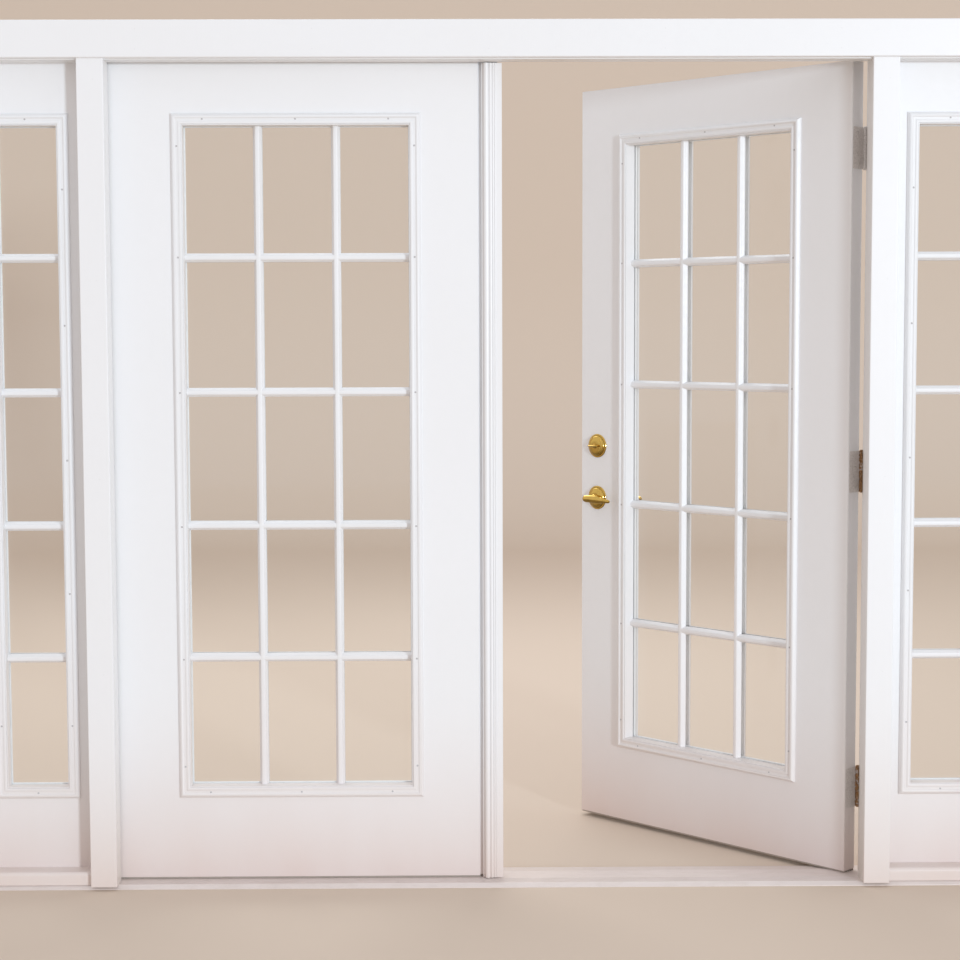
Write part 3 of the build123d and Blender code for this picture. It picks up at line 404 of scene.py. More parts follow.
def window_glass():
    """Window glass: it shines more at a slant, and has a little dust on it."""
    nodes = Finish("window_glass")
    slant = nodes.add("LayerWeight", Blend=0.5).outputs["Facing"]
    shine = nodes.ramp(nodes.math("POWER", slant, 5.0), 0.0, 1.0, 0.028, 0.9)
    specks = nodes.ramp(nodes.noise(46, 8, (1, 1, 0.6), 0.7), 0.5, 0.8, 0.002, 0.025)
    smears = nodes.ramp(nodes.noise(7, 5, (1, 1, 0.5)), 0.4, 0.75, 0.02, 0.09)
    clear = nodes.add("BsdfTransparent", Color=(0.990, 0.995, 0.992, 1))
    mirror = nodes.add("BsdfPrincipled", Base_Color=(0.93, 0.94, 0.94, 1), Metallic=0.85, Roughness=smears)
    pane = nodes.add("MixShader", Fac=nodes.math("ADD", shine, specks))
    nodes.join(clear.outputs[0], pane.inputs[1])
    nodes.join(mirror.outputs[0], pane.inputs[2])
    nodes.join(pane.outputs[0], nodes.out.inputs["Surface"])
    return nodes.material


def hinge_steel():
    """Dull plated steel, with rust on the knuckles of the middle and lower hinges."""
    nodes = Finish("plated_hinge_steel")
    normal = nodes.soft_normal(0.0006)
    place = nodes.add("SeparateXYZ", Vector=nodes.at).outputs
    beside = nodes.math("SUBTRACT", nodes.math("ABSOLUTE", place["X"], 0.0), PIN.x)
    behind = nodes.math("SUBTRACT", place["Y"], PIN.y)
    squares = [nodes.math("POWER", side, 2.0) for side in (beside, behind)]
    away = nodes.math("POWER", nodes.math("ADD", *squares), 0.5)
    near_pin = nodes.ramp(away, KNUCKLE_RADIUS * 1.9, KNUCKLE_RADIUS * 1.1, 0.12, 1.0)
    wet = nodes.times(near_pin, nodes.ramp(place["Z"], 1.7, 1.2, 0.0, 1.0))
    start = nodes.ramp(wet, 0, 1, 0.75, 0.36)
    rust = nodes.ramp(nodes.math("SUBTRACT", nodes.noise(140, 6, roughness=0.65), start), 0.0, 0.09)
    steel = nodes.mix(nodes.ramp(nodes.noise(260, 3), 0.35, 0.65), (0.82, 0.79, 0.77), (0.66, 0.63, 0.61))
    brown = nodes.mix(nodes.ramp(nodes.noise(380, 4), 0.4, 0.65), (0.50, 0.29, 0.14), (0.14, 0.07, 0.03))
    base = nodes.mix(rust, steel, brown)
    shine = nodes.ramp(rust, 0, 1, 0.15, 0.05)
    rough = nodes.ramp(rust, 0, 1, 0.42, 0.85)
    pitted = nodes.bump(nodes.times(rust, nodes.noise(900, 3)), 0.0002, normal)
    return nodes.surface(base, rough, pitted, Metallic=shine)


def metal(name, colour, dull, roughness, spread, metallic=1.0, underside_shade=0.0):
    """Polished or satin metal with dull patches, fine rubbing marks, and painted shade and reflection darkening
    its undersides.
    """
    nodes = Finish(name)
    normal = nodes.soft_normal(0.0006)
    dulled = nodes.ramp(nodes.noise(70, 6, roughness=0.6), 0.48, 0.72)
    base = nodes.mix(nodes.times(dulled, spread), colour, dull)
    facing = nodes.add("TexCoord").outputs["Normal"]
    up = nodes.add("SeparateXYZ", Vector=facing).outputs["Z"]
    # Painted shade: undersides darkened to stand in for the dark floor reflected there
    painted_underside = nodes.ramp(up, 0.12, -0.42, 0.0, underside_shade)
    base = nodes.mix(painted_underside, base, tuple(0.3 * share for share in dull))
    rough = nodes.ramp(nodes.noise(140, 5), 0.3, 0.8, roughness, roughness + 0.16 * spread + 0.04)
    rubbed = nodes.bump(nodes.noise(900, 2, (1, 0.12, 1)), 0.00002, normal)
    return nodes.surface(base, rough, rubbed, Metallic=metallic)


def rubber(name, colour, pale):
    """Seal, sweep, plug or filler: matt, with dust on it."""
    nodes = Finish(name)
    normal = nodes.soft_normal(0.0005)
    dust = nodes.ramp(nodes.noise(30, 6, (1, 1, 0.3), 0.65), 0.4, 0.75)
    base = nodes.mix(nodes.times(dust, 0.45), colour, pale)
    grain = nodes.bump(nodes.noise(700, 2), 0.00005, normal)
    return nodes.surface(base, nodes.ramp(dust, 0, 1, 0.6, 0.85), grain)


def sill_metal():
    """Anodised aluminium, gone pale and a little pink, dulled by feet."""
    nodes = Finish("sill_aluminium")
    normal = nodes.soft_normal(0.0008)
    grain = nodes.noise(500, 3, (0.02, 1, 1), 0.6)
    dirt = nodes.ramp(nodes.noise(9, 8, (1, 2.5, 1), 0.7), 0.45, 0.75)
    base = nodes.mix(nodes.times(grain, 0.4), (0.84, 0.76, 0.73), (0.74, 0.67, 0.64))
    base = nodes.mix(nodes.times(dirt, 0.35), base, (0.58, 0.50, 0.44))
    rough = nodes.ramp(dirt, 0, 1, 0.40, 0.65)
    return nodes.surface(base, rough, nodes.bump(grain, 0.00005, normal), Metallic=0.25)


LEAF_PAINT = paint("leaf_paint", colour=(0.89, 0.895, 0.915), shade=(0.865, 0.868, 0.88),
                   bounce_tint_and_wear=(0.72, 0.56, 0.50), roughness=0.42, strokes=0.00002)
TRIM_PAINT = paint("trim_paint", colour=(0.89, 0.895, 0.915), shade=(0.87, 0.87, 0.88),
                   bounce_tint_and_wear=(0.74, 0.59, 0.52), roughness=0.36, strokes=0.00006)
FRAME_PAINT = paint("frame_paint", colour=(0.88, 0.88, 0.885), shade=(0.84, 0.835, 0.83),
                    bounce_tint_and_wear=(0.70, 0.60, 0.52), roughness=0.40, strokes=0.00006)
MOULDING = moulding()
GLASS = window_glass()
HINGE_STEEL = hinge_steel()
BOLT_STEEL = metal("plated_bolt_steel", colour=(0.62, 0.58, 0.50), dull=(0.36, 0.32, 0.26),
                   roughness=0.28, spread=0.8)
BRASS = metal("polished_brass", colour=(0.78, 0.52, 0.13), dull=(0.46, 0.32, 0.07),
              roughness=0.06, spread=0.5, underside_shade=0.8)
SPACER = metal("spacer_metal", colour=(0.90, 0.91, 0.92), dull=(0.80, 0.80, 0.80),
               roughness=0.40, spread=0.4, metallic=0.2)
SEAL = rubber("seal_rubber", colour=(0.30, 0.26, 0.22), pale=(0.48, 0.43, 0.38))
SWEEP = rubber("door_sweep_vinyl", colour=(0.42, 0.36, 0.31), pale=(0.52, 0.47, 0.42))
SILL = sill_metal()
FILLER = rubber("nail_filler", colour=(0.74, 0.73, 0.74), pale=(0.80, 0.79, 0.79))
PLUG = rubber("plug_grey", colour=(0.52, 0.51, 0.52), pale=(0.64, 0.63, 0.62))

SLOT_FINISH = {
    "painted_frame": FRAME_PAINT,
    "painted_trim": TRIM_PAINT,
    "painted_slab": LEAF_PAINT,
    "lite_moulding": MOULDING,
    "clear_glass": GLASS,
    "seal": SEAL,
    "sweep_vinyl": SWEEP,
    "sill_metal": SILL,
    "hinge_steel": HINGE_STEEL,
    "bolt_steel": BOLT_STEEL,
    "lock_brass": BRASS,
}
for subpart in frame["record"]["subparts"]:
    node = frame["nodes"][subpart["node"]]
    node.data.materials.clear()
    node.data.materials.append(SLOT_FINISH[subpart["material_slot"]])


# Geometry Nodes tools
class Rule(Tree):
    """A Geometry Nodes tree with named inputs, and short calls that add its nodes."""

    def __init__(self, name, inputs):
        self.tree = bpy.data.node_groups.new(name, "GeometryNodeTree")
        self.tree.interface.new_socket("Geometry", in_out="INPUT", socket_type="NodeSocketGeometry")
        for label, kind in inputs.items():
            self.tree.interface.new_socket(label, in_out="INPUT", socket_type="NodeSocket" + kind)
        self.tree.interface.new_socket("Geometry", in_out="OUTPUT", socket_type="NodeSocketGeometry")
        self.given = self.tree.nodes.new("NodeGroupInput").outputs
        self.end = self.tree.nodes.new("NodeGroupOutput")

    def add(self, kind, settings=None, **inputs):
        """The first output of a node."""
        return self.node(kind, settings, **inputs).outputs[0]

    def vector(self, **parts):
        return self.add("ShaderNodeCombineXYZ", **parts)

    def together(self, *parts):
        """Several geometries joined into one."""
        made = self.tree.nodes.new("GeometryNodeJoinGeometry")
        for part in parts:
            self.join(part, made.inputs[0])
        return made.outputs[0]

    def on_points(self, shape):
        """The shape on each given point, turned to face along the point's own direction."""
        facing = self.add("GeometryNodeInputNamedAttribute", {"data_type": "FLOAT_VECTOR"}, Name="facing")
        aimed = self.add("FunctionNodeAlignRotationToVector", {"axis": "Z"}, Vector=facing)
        return self.add("GeometryNodeInstanceOnPoints", Points=self.given["Geometry"], Instance=shape,
                        Rotation=aimed)

    def finish(self, geometry):
        """Real geometry with the material on it."""
        real = self.add("GeometryNodeRealizeInstances", Geometry=geometry)
        done = self.add("GeometryNodeSetMaterial", Geometry=real, Material=self.given["Material"])
        self.join(done, self.end.inputs[0])
        return self

    def made_from(self, mesh, **values):
        """The plain mesh that the tree makes from a mesh, with its inputs set by their identifiers."""
        carrier = bpy.data.objects.new("carrier", mesh)
        bpy.context.scene.collection.objects.link(carrier)
        modifier = carrier.modifiers.new("rule", "NODES")
        modifier.node_group = self.tree
        for item in self.tree.interface.items_tree:
            label = item.name.replace(" ", "_")
            if item.in_out == "INPUT" and label in values:
                modifier[item.identifier] = values[label]
        bpy.context.view_layer.update()
        graph = bpy.context.evaluated_depsgraph_get()
        result = bpy.data.meshes.new_from_object(carrier.evaluated_get(graph))
        bpy.data.objects.remove(carrier)
        return result


def bars_rule():
    """Glazing bars: one section drawn out to length, and repeated up and across."""
    rule = Rule("glazing_bars", {
        "Upright Count": "Int", "Upright Pitch": "Float", "Upright Length": "Float",
        "Cross Count": "Int", "Cross Pitch": "Float", "Cross Length": "Float", "Material": "Material",
    })
    given = rule.given
    back = rule.add("GeometryNodeFlipFaces", Mesh=given["Geometry"])
    runs = []
    for label, turn, axis, rise in (("Upright", 0.0, "X", 1.0), ("Cross", pi / 2, "Z", CROSS_SHARE)):
        count, pitch, length = (given[f"{label} {size}"] for size in ("Count", "Pitch", "Length"))
        drawn = rule.add("GeometryNodeExtrudeMesh", Mesh=given["Geometry"], Offset=rule.vector(Z=length))
        solid = rule.add("GeometryNodeMergeByDistance", Geometry=rule.together(drawn, back), Distance=1e-5)
        half = rule.math("MULTIPLY", length, -0.5)
        centred = rule.add("GeometryNodeTransform", Geometry=solid, Translation=rule.vector(Z=half))
        laid = rule.add("GeometryNodeTransform", Geometry=centred, Rotation=(0.0, turn, 0.0),
                        Scale=(1.0, rise, 1.0))
        span = rule.math("MULTIPLY", rule.math("SUBTRACT", count, 1.0), pitch)
        first = rule.math("MULTIPLY", span, -0.5)
        line = rule.add("GeometryNodeMeshLine", Count=count, Start_Location=rule.vector(**{axis: first}),
                        Offset=rule.vector(**{axis: pitch}))
        runs.append(rule.add("GeometryNodeInstanceOnPoints", Points=line, Instance=laid))
    return rule.finish(rule.together(*runs))


def screw_rule():
    """Screw heads with a cross recess, one on each point."""
    sizes = ("Radius", "Rise", "Recess")
    rule = Rule("screw_heads", {**dict.fromkeys(sizes, "Float"), "Material": "Material"})
    radius, rise, recess = (rule.given[size] for size in sizes)
    head = rule.add("GeometryNodeMeshCylinder", Vertices=20, Radius=radius, Depth=rise)
    reach = rule.math("MULTIPLY", radius, RECESS_REACH)
    slots = []
    for wide, deep in ((reach, recess), (recess, reach)):
        slots.append(rule.add("GeometryNodeMeshCube", Size=rule.vector(X=wide, Y=deep, Z=rise)))
    lifted = rule.add("GeometryNodeTransform", Geometry=rule.together(*slots),
                      Translation=rule.vector(Z=rule.math("MULTIPLY", rise, 0.5)))
    cut = rule.node("GeometryNodeMeshBoolean", {"operation": "DIFFERENCE"}, Mesh_1=head, Mesh_2=lifted)
    return rule.finish(rule.on_points(cut.outputs[0]))


def plug_rule():
    """Domed plugs, one on each point."""
    rule = Rule("screw_plugs", {"Radius": "Float", "Flatness": "Float", "Material": "Material"})
    ball = rule.add("GeometryNodeMeshUVSphere", Segments=16, Rings=8, Radius=rule.given["Radius"])
    flat = rule.add("GeometryNodeTransform", Geometry=ball,
                    Scale=rule.vector(X=1.0, Y=1.0, Z=rule.given["Flatness"]))
    return rule.finish(rule.on_points(flat))


BARS = bars_rule()
SCREWS = screw_rule()
PLUGS = plug_rule()


def points(name, places, facing):
    """A mesh of points, each with the direction that it faces."""
    mesh = bpy.data.meshes.new(name)
    mesh.from_pydata([tuple(place) for place in places], [], [])
    towards = mesh.attributes.new("facing", "FLOAT_VECTOR", "POINT")
    towards.data.foreach_set("vector", list(facing) * len(places))
    return mesh


# Glazed inserts
def border_section(depth):
    """A border's outline, as distances in from its outer edge and rises above the slab's face."""
    section = [(0, 0), (0, OUTER_RISE - EASE), (EASE, OUTER_RISE)]
    for share in SLOPE_SHARES:
        climb = 1 - (1 - share) ** SLOPE_CURVE
        section.append((EASE + SLOPE_WIDTH * share, OUTER_RISE + (CREST_RISE - OUTER_RISE) * climb))
    section += [(CREST, CREST_RISE), (CREST + CREST_TOP, CREST_RISE - CREST_FALL)]
    section += [(CHANNEL[0] - EASE, CHANNEL_RISE + EASE)]
    section += [(inset, CHANNEL_RISE) for inset in CHANNEL]
    middle = (BEAD_ENDS[0] + BEAD_ENDS[1]) / 2
    for step in range(BEAD_STEPS + 1):
        turn = pi * (1 - step / BEAD_STEPS)
        section.append((middle + (BEAD_ENDS[1] - middle) * cos(turn),
                        CHANNEL_RISE + (BEAD_RISE - CHANNEL_RISE) * sin(turn)))
    section += [(inset, LIP_RISE - GROOVE_DEPTH) for inset in GROOVE]
    section += [(LIP, LIP_RISE), (BORDER - LIP_EASE, LIP_RISE), (BORDER, LIP_RISE - LIP_EASE)]
    return section + [(BORDER, -depth), (WALL_INSET, -depth), (WALL_INSET, 0)]


def bar_section(out):
    """A bar's cross-section as one face: x across it, y out of the glass."""
    foot = BAR_FOOT / 2
    side = [(foot - inward, rise) for inward, rise in BAR_SIDE]
    side += [(BAR_NOSE + outward, BAR_RISE - drop) for outward, drop in BAR_ROUND]
    outline = [(-foot, 0), (foot, 0)] + side + [(-x, y) for x, y in reversed(side)]
    corners = [(x, out * y, 0) for x, y in outline]
    if out < 0:
        corners.reverse()
    mesh = bpy.data.meshes.new("bar_section")
    mesh.from_pydata(corners, [], [tuple(range(len(corners)))])
    return mesh


def insert_mesh(low, high, columns, face, out, glass_face):
    """Border and glazing bars of one side of an insert."""
    wide = high.x - low.x - 2 * BORDER
    tall = high.z - low.z - 2 * BORDER
    bars = BARS.made_from(
        bar_section(out), Upright_Count=columns - 1, Upright_Pitch=(wide + BAR_FOOT) / columns,
        Upright_Length=tall + 2 * BAR_BITE, Cross_Count=ROWS - 1, Cross_Pitch=(tall + BAR_FOOT) / ROWS,
        Cross_Length=wide + 2 * BAR_BITE, Material=MOULDING,
    )
    middle = (low + high) / 2
    bars.transform(Matrix.Translation((middle.x, glass_face, middle.z)))
    border = bmesh.new()
    section = border_section(abs(glass_face - face))
    add_frame(border, [(inset, face + out * rise) for inset, rise in section], low, high)
    both = bmesh.new()
    both.from_mesh(bars)
    both.from_mesh(finished(border, "border", smooth=50))
    return finished(both, "insert", smooth=40, merge=False)


def plug_places(low, high, columns):
    """Places of the plugs over an insert's screws: up both sides, and along its top and bottom."""
    pitch = (high.z - low.z - 2 * BORDER + BAR_FOOT) / ROWS
    first_bar = low.z + BORDER + pitch - BAR_FOOT / 2
    across = [(low.x + high.x) / 2]
    if columns > 1:
        beside_bars = [first_bar + pitch * row for row in range(ROWS - 1)]
        heights = [low.z + PLUG_FROM_END, *beside_bars, high.z - PLUG_FROM_END]
        across = [low.x + PLUG_FROM_SIDE, *across, high.x - PLUG_FROM_SIDE]
    else:
        heights = [first_bar + pitch * (row - 0.5) for row in range(ROWS)]
    places = [(x, z) for z in heights for x in (low.x + PLUG_INSET, high.x - PLUG_INSET)]
    return places + [(x, z) for x in across for z in (low.z + PLUG_END_INSET, high.z - PLUG_END_INSET)]


def spacer_mesh(box):
    """The folded metal spacer that runs round between the panes."""
    low, high = box
    fold, deep = SPACER_FOLD, SPACER_DEPTH
    section = [(0.0, 0.0), (SPACER_IN, 0.0), (SPACER_IN + fold, fold), (SPACER_IN + fold, deep - fold),
               (SPACER_IN, deep), (0.0, deep)]
    bm = bmesh.new()
    add_frame(bm, [(inset, low.y + PANE + depth) for inset, depth in section], low, high)
    return finished(bm, "spacer")


def dress_insert(name, bounds, pane_box, columns, body, place):
    """Both sides of an insert, the spacer in its sealed glass, and the plugs over its screws."""
    low, high = bounds
    for side, face, out, glass_face in (("inside", FACE_IN, -1, pane_box[0].y - GLASS_GAP),
                                        ("outside", FACE_OUT, 1, pane_box[1].y + GLASS_GAP)):
        mesh = insert_mesh(low, high, columns, face, out, glass_face)
        piece(f"{name}{side}_moulding", mesh, body, MOULDING, place, [f"{name}{side}_frame"])
    piece(f"{name}spacer", spacer_mesh(pane_box), body, SPACER, place)
    plug_y = FACE_IN - CHANNEL_RISE + PLUG_SINK
    spots = points("plugs", [(x, plug_y, z) for x, z in plug_places(low, high, columns)], (0, -1, 0))
    caps = PLUGS.made_from(spots, Radius=PLUG_RADIUS, Flatness=PLUG_FLATNESS, Material=PLUG)
    caps.shade_smooth()
    piece(f"{name}plugs", caps, body, PLUG, place)


wide_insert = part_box("left_inside_frame"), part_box("left_glass"), 3
narrow_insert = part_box("left_sidelight_inside_frame"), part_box("left_sidelight_glass"), 1
dress_insert("left_", *wide_insert, "left_leaf", STAY)
dress_insert("right_", *wide_insert, "right_leaf", SWING)
dress_insert("left_sidelight_", *narrow_insert, "frame", STAY)
dress_insert("right_sidelight_", *narrow_insert, "frame", MIRROR)


# Hinges
def hinge_half(plate, reach, first, pinned):
    """One side of the three hinges: its plate, every second knuckle, and the pins where it carries them."""
    bm = bmesh.new()
    pitch = HINGE_HEIGHT / KNUCKLES
    length = pitch - KNUCKLE_GAP
    barrel = [(0, 0), (KNUCKLE_RADIUS - KNUCKLE_EASE, 0), (KNUCKLE_RADIUS, KNUCKLE_EASE),
              (KNUCKLE_RADIUS, length - KNUCKLE_EASE), (KNUCKLE_RADIUS - KNUCKLE_EASE, length), (0, length)]
    far = PIN.y - reach
    near = PIN.y - KNUCKLE_RADIUS - KNUCKLE_CLEAR
    for middle in HINGE_HEIGHTS:
        foot, head = middle - HINGE_HEIGHT / 2, middle + HINGE_HEIGHT / 2
        outline = rounded([(far, foot), (near, foot), (near, head), (far, head)], PLATE_CORNER)
        add_rings(bm, [[(x, y, z) for y, z in outline] for x in plate])
        for number in range(first, KNUCKLES, 2):
            low = foot + pitch * number + KNUCKLE_GAP / 2
            add_box(bm, (plate[0], near - KNUCKLE_BITE, low), (plate[1], PIN.y, low + length))
            add_turned(bm, barrel, (-PIN.x, PIN.y, low), (0, 0, 1), segments=28)
        if pinned:
            for end, up in ((foot, -1), (head, 1)):
                add_turned(bm, PIN_BUTTON, (-PIN.x, PIN.y, end), (0, 0, up), segments=24)
    return finished(bm, "hinge_half")


def hinge_screws(x, facing):
    """Four screws in each hinge plate."""
    places = [(x, PIN.y - inward, middle + up)
              for middle in HINGE_HEIGHTS for up, inward in HINGE_SCREW_PLACES]
    return SCREWS.made_from(points("screws", places, (facing, 0, 0)), Material=HINGE_STEEL, **HINGE_SCREW)


for side, wall, leaf_place in (("left_", STAY, STAY), ("right_", MIRROR, SWING)):
    leaf = f"{side}leaf"
    jamb_half = hinge_half(JAMB_PLATE, JAMB_REACH, first=0, pinned=True)
    door_half = hinge_half(DOOR_PLATE, DOOR_REACH, first=1, pinned=False)
    piece(f"{side}jamb_hinge_leaves", jamb_half, "frame", HINGE_STEEL, wall, [f"{side}jamb_hinges"])
    piece(f"{side}door_hinge_leaves", door_half, leaf, HINGE_STEEL, leaf_place, [f"{side}door_hinges"])
    jamb_screws = hinge_screws(JAMB_PLATE[1] + SCREW_LIFT, 1)
    door_screws = hinge_screws(DOOR_PLATE[0] - SCREW_LIFT, -1)
    piece(f"{side}jamb_hinge_screws", jamb_screws, "frame", HINGE_STEEL, wall)
    piece(f"{side}door_hinge_screws", door_screws, leaf, HINGE_STEEL, leaf_place)


# Trim
def nail_fills(name, board, along, end_inset, lines):
    """Fills evenly spaced along a trim board, on lines across it. Along is 0 for X and 2 for Z."""
    low, high = board
    span = high[along] - low[along]
    count = round(span / NAIL_PITCH)
    step = (span - 2 * end_inset) / (count - 1)
    places = []
    for number in range(count):
        for line in lines:
            place = Vector((line, low.y + NAIL_SINK, line))
            place[along] = low[along] + end_inset + step * number
            places.append(place)
    caps = PLUGS.made_from(points("nails", places, (0, -1, 0)), Radius=NAIL_RADIUS, Flatness=NAIL_FLATNESS,
                           Material=FILLER)
    piece(name, caps, "frame", FILLER)


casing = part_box("head_casing")
head_rows = casing[0].z + HEAD_NAIL_ROWS[0], casing[1].z - HEAD_NAIL_ROWS[1]
nail_fills("head_nail_fills", casing, 0, HEAD_NAIL_END, head_rows)
for side in ("left", "right"):
    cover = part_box(f"{side}_mullion_cover")
    row = cover[0].x + (cover[1].x - cover[0].x) * COVER_NAIL_SHARE
    nail_fills(f"{side}_cover_nail_fills", cover, 2, COVER_NAIL_END, [row])


# Lock
def rose_mesh(height, face, out, hub):
    """A spun rose: a thin rim, a swelling dome, and a raised collar round the spindle."""
    top = ROSE_RISE - COLLAR_RISE
    outline = list(ROSE_RIM)
    for step in range(DOME_STEPS + 1):
        turn = pi / 2 * step / DOME_STEPS
        outline.append((DOME_CROWN + (DOME_FOOT[0] - DOME_CROWN) * cos(turn),
                        DOME_FOOT[1] + (top - DOME_FOOT[1]) * sin(turn)))
    foot, edge, bore = (hub + width for width in COLLAR_WIDTHS)
    outline += [(foot, top), (edge, ROSE_RISE), (bore, ROSE_RISE), (0, ROSE_RISE)]
    bm = bmesh.new()
    add_turned(bm, outline, (BORE_X, face, height), (0, out, 0), segments=56)
    return finished(bm, "rose", smooth=30)


def arm_section(share):
    """The share of its drop, the height and the depth that a lever's arm has at a share of its reach."""
    low, high = next(pair for pair in zip(LEVER_STATIONS, LEVER_STATIONS[1:]) if share <= pair[1][0])
    t = (share - low[0]) / (high[0] - low[0])
    t = t * t * (3 - 2 * t)
    return [low[k] + (high[k] - low[k]) * t for k in (1, 2, 3)]


def sharpened(value, ridge):
    """A cosine or sine raised to a power, with its sign kept, which turns a round into a ridged form."""
    return abs(value) ** ridge * (1 if value > 0 else -1)


def lever_mesh(face, out):
    """A cast lever: a round neck with a ring, and an arm that narrows, swells and curls back at its tip."""
    rings = []
    for step in range(LEVER_RINGS + 1):
        share = step / LEVER_RINGS
        drop, tall, deep = arm_section(share)
        end = min(1.0, share * LEVER_REACH / LEVER_ENDS[0], (1 - share) * LEVER_REACH / LEVER_ENDS[1])
        half = sqrt(max(0.0, 1 - (1 - end) ** 2)) / 2
        x = BORE_X + LEVER_HEEL - share * (LEVER_REACH + LEVER_HEEL)
        y = face + out * (LEVER_OUT - LEVER_BEND * drop ** 2)
        z = LEVER_Z - LEVER_DROP * drop
        ridge = 1 + LEVER_RIDGE * min(1.0, share / RIDGE_START)
        ring = []
        for corner in range(LEVER_SIDES):
            turn = 2 * pi * corner / LEVER_SIDES
            ring.append((x, y + half * deep * sharpened(cos(turn), ridge),
                         z + half * tall * sharpened(sin(turn), ridge)))
        rings.append(ring)
    bm = bmesh.new()
    add_rings(bm, rings)
    add_turned(bm, LEVER_NECK, (BORE_X, face, LEVER_Z), (0, out, 0))
    if out < 0:
        add_box(bm, (BORE_X - SPINDLE_HALF, FACE_IN, LEVER_Z - SPINDLE_HALF),
                (BORE_X + SPINDLE_HALF, FACE_OUT, LEVER_Z + SPINDLE_HALF))
    return finished(bm, "lever", smooth=40)


def turn_mesh():
    """The deadbolt's turn: a ringed neck, an oval paddle and its tailpiece."""
    bm = bmesh.new()
    add_turned(bm, TURN_NECK, (BORE_X, FACE_IN, BOLT_Z), (0, -1, 0), segments=32)
    middle = Vector((BORE_X, FACE_IN - ROSE_RISE - PADDLE_OUT, BOLT_Z))
    along, out, up = PADDLE_HALF
    rings = []
    for step in range(PADDLE_RINGS + 1):
        turn = pi * step / PADDLE_RINGS
        size = sqrt(max(0.0, sin(turn)))
        ring = []
        for corner in range(PADDLE_SIDES):
            angle = 2 * pi * corner / PADDLE_SIDES
            from_middle = -along * cos(turn), out * size * sin(angle), up * size * cos(angle)
            ring.append(middle + Vector(from_middle))
        rings.append(ring)
    add_rings(bm, rings)
    add_box(bm, (BORE_X - TAILPIECE_HALF, FACE_IN, BOLT_Z - TAILPIECE_HALF),
            (BORE_X + TAILPIECE_HALF, FACE_OUT - TAILPIECE_HALF, BOLT_Z + TAILPIECE_HALF))
    return finished(bm, "turn", smooth=40)


def key_cylinder_mesh():
    """The key cylinder outside: a tapered collar, the plug's ring, and a recess for the key."""
    bm = bmesh.new()
    add_turned(bm, KEY_CYLINDER, (BORE_X, FACE_OUT, BOLT_Z), (0, 1, 0), segments=48)
    return finished(bm, "key_cylinder", smooth=30)


def lock_piece(name, mesh, body, node):
    """A brass piece of the lock, swung open with the leaf."""
    piece(name, mesh, body, BRASS, SWING, [node])


roses = bmesh.new()
roses.from_mesh(rose_mesh(LEVER_Z, FACE_IN, -1, NECK_RADIUS))
roses.from_mesh(rose_mesh(BOLT_Z, FACE_IN, -1, TURN_HUB))
handles = bmesh.new()
handles.from_mesh(lever_mesh(FACE_IN, -1))
handles.from_mesh(lever_mesh(FACE_OUT, 1))
lock_piece("inside_rose_plates", finished(roses, "roses", smooth=30), "right_leaf", "inside_roses")
lock_piece("outside_rose_plate", rose_mesh(LEVER_Z, FACE_OUT, 1, NECK_RADIUS), "right_leaf", "outside_rose")
lock_piece("lever_handles", finished(handles, "handles", smooth=40), "levers", "levers")
lock_piece("deadbolt_turn", turn_mesh(), "thumbturn", "thumbturn")
lock_piece("key_cylinder", key_cylinder_mesh(), "right_leaf", "deadbolt_cylinder")

plate_places = [
    (LOCK_EDGE + SCREW_LIFT, (FACE_IN + FACE_OUT) / 2, height + up)
    for height in (LEVER_Z, BOLT_Z) for up in (-PLATE_SCREW_UP, PLATE_SCREW_UP)
]
plate_screws = SCREWS.made_from(points("plate_screws", plate_places, (1, 0, 0)), Material=BOLT_STEEL,
                                **PLATE_SCREW)
piece("faceplate_screws", plate_screws, "right_leaf", BOLT_STEEL, SWING)


# Stage: a floor that curves up into a backdrop
STAGE_FRONT = -12.0
STAGE_HALF_WIDTH = 22.0
BACKDROP_Y = 9.0
BACKDROP_TOP = 8.0
CURVE = 1.8
CURVE_STEPS = 12


def stage_finish():
    """A plain pale surface."""
    nodes = Finish("stage_pale")
    shader = nodes.add("BsdfPrincipled", Base_Color=(0.735, 0.625, 0.525, 1.0), Roughness=0.8,
                       Specular_IOR_Level=0.0)
    nodes.join(shader.outputs[0], nodes.out.inputs["Surface"])
    return nodes.material


rows = [(STAGE_FRONT, 0.0), (BACKDROP_Y - CURVE, 0.0)]
for step in range(1, CURVE_STEPS + 1):
    turn = pi / 2 * step / CURVE_STEPS
    rows.append((BACKDROP_Y - CURVE + CURVE * sin(turn), CURVE - CURVE * cos(turn)))
rows.append((BACKDROP_Y, BACKDROP_TOP))
sheet = bpy.data.meshes.new("backdrop")
sheet.from_pydata([(x, y, z) for y, z in rows for x in (-STAGE_HALF_WIDTH, STAGE_HALF_WIDTH)], [],
                  [(2 * i, 2 * i + 1, 2 * i + 3, 2 * i + 2) for i in range(len(rows) - 1)])
sheet.materials.append(stage_finish())
sheet.shade_smooth()
backdrop = bpy.data.objects.new("backdrop", sheet)
bpy.context.scene.collection.objects.link(backdrop)


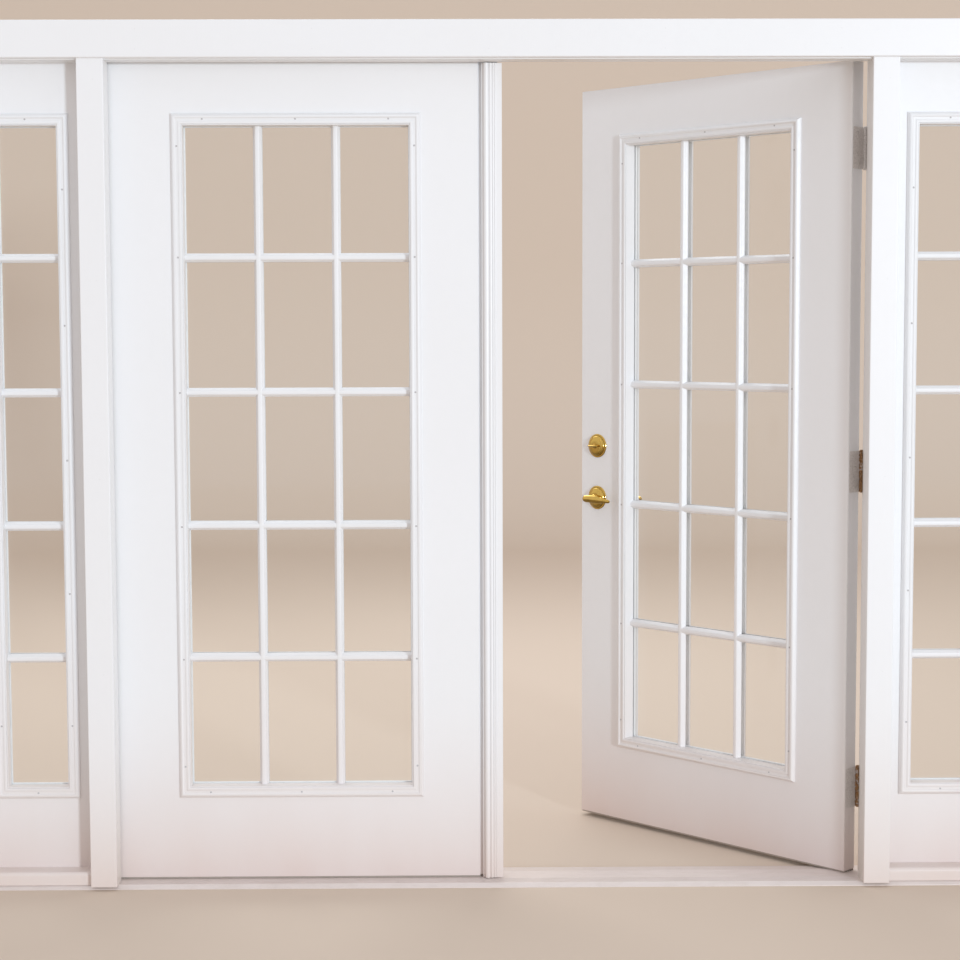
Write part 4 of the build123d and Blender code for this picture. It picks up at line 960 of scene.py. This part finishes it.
# Lights
def area_light(name, place, aim, size, power, colour):
    """A soft lamp, turned towards a point, that is not seen itself."""
    lamp = bpy.data.lights.new(name, "AREA")
    lamp.shape = "RECTANGLE"
    lamp.size, lamp.size_y = size
    lamp.energy = power
    lamp.color = colour
    made = bpy.data.objects.new(name, lamp)
    bpy.context.scene.collection.objects.link(made)
    made.location = place
    made.visible_camera = False
    made.rotation_euler = (Vector(aim) - Vector(place)).to_track_quat("-Z", "Y").to_euler()


area_light("cool_key", place=(10.2, -19.5, 2.5), aim=(0, 0, 1.1), size=(1.9, 1.9), power=2180,
           colour=(0.79, 0.91, 1.0))
area_light("daylight", place=(-0.6, 3.6, 4.2), aim=(0.2, 0.2, 0.9), size=(4.0, 2.5), power=85,
           colour=(0.93, 0.97, 1.0))

world = bpy.data.worlds.new("studio")
bpy.context.scene.world = world
world.use_nodes = True
tree = world.node_tree
tree.nodes.clear()
light = tree.nodes.new("ShaderNodeBackground")
light.inputs["Color"].default_value = (1.0, 0.970, 0.978, 1)
light.inputs["Strength"].default_value = 0.725
tree.links.new(light.outputs[0], tree.nodes.new("ShaderNodeOutputWorld").inputs["Surface"])

# Camera, where the photograph was taken from
CAMERA = Vector((-0.0688, -4.8432, 1.3851))
YAW, PITCH, ROLL = radians(0.539), radians(-4.498), radians(-0.172)
FOCAL = 1978.35             # in pixels of the picture
PICTURE = 960
SENSOR = 36
forward = Vector((sin(YAW) * cos(PITCH), cos(YAW) * cos(PITCH), sin(PITCH)))
right = Vector((cos(YAW), -sin(YAW), 0))
up = right.cross(forward)
across = right * cos(ROLL) + up * sin(ROLL)
above = up * cos(ROLL) - right * sin(ROLL)
lens = bpy.data.cameras.new("camera")
lens.sensor_width = SENSOR
lens.lens = SENSOR * FOCAL / PICTURE
camera = bpy.data.objects.new("camera", lens)
bpy.context.scene.collection.objects.link(camera)
camera.matrix_world = Matrix((across, above, -forward)).transposed().to_4x4()
camera.location = CAMERA
bpy.context.scene.camera = camera
bpy.context.scene.view_settings.view_transform = "Standard"
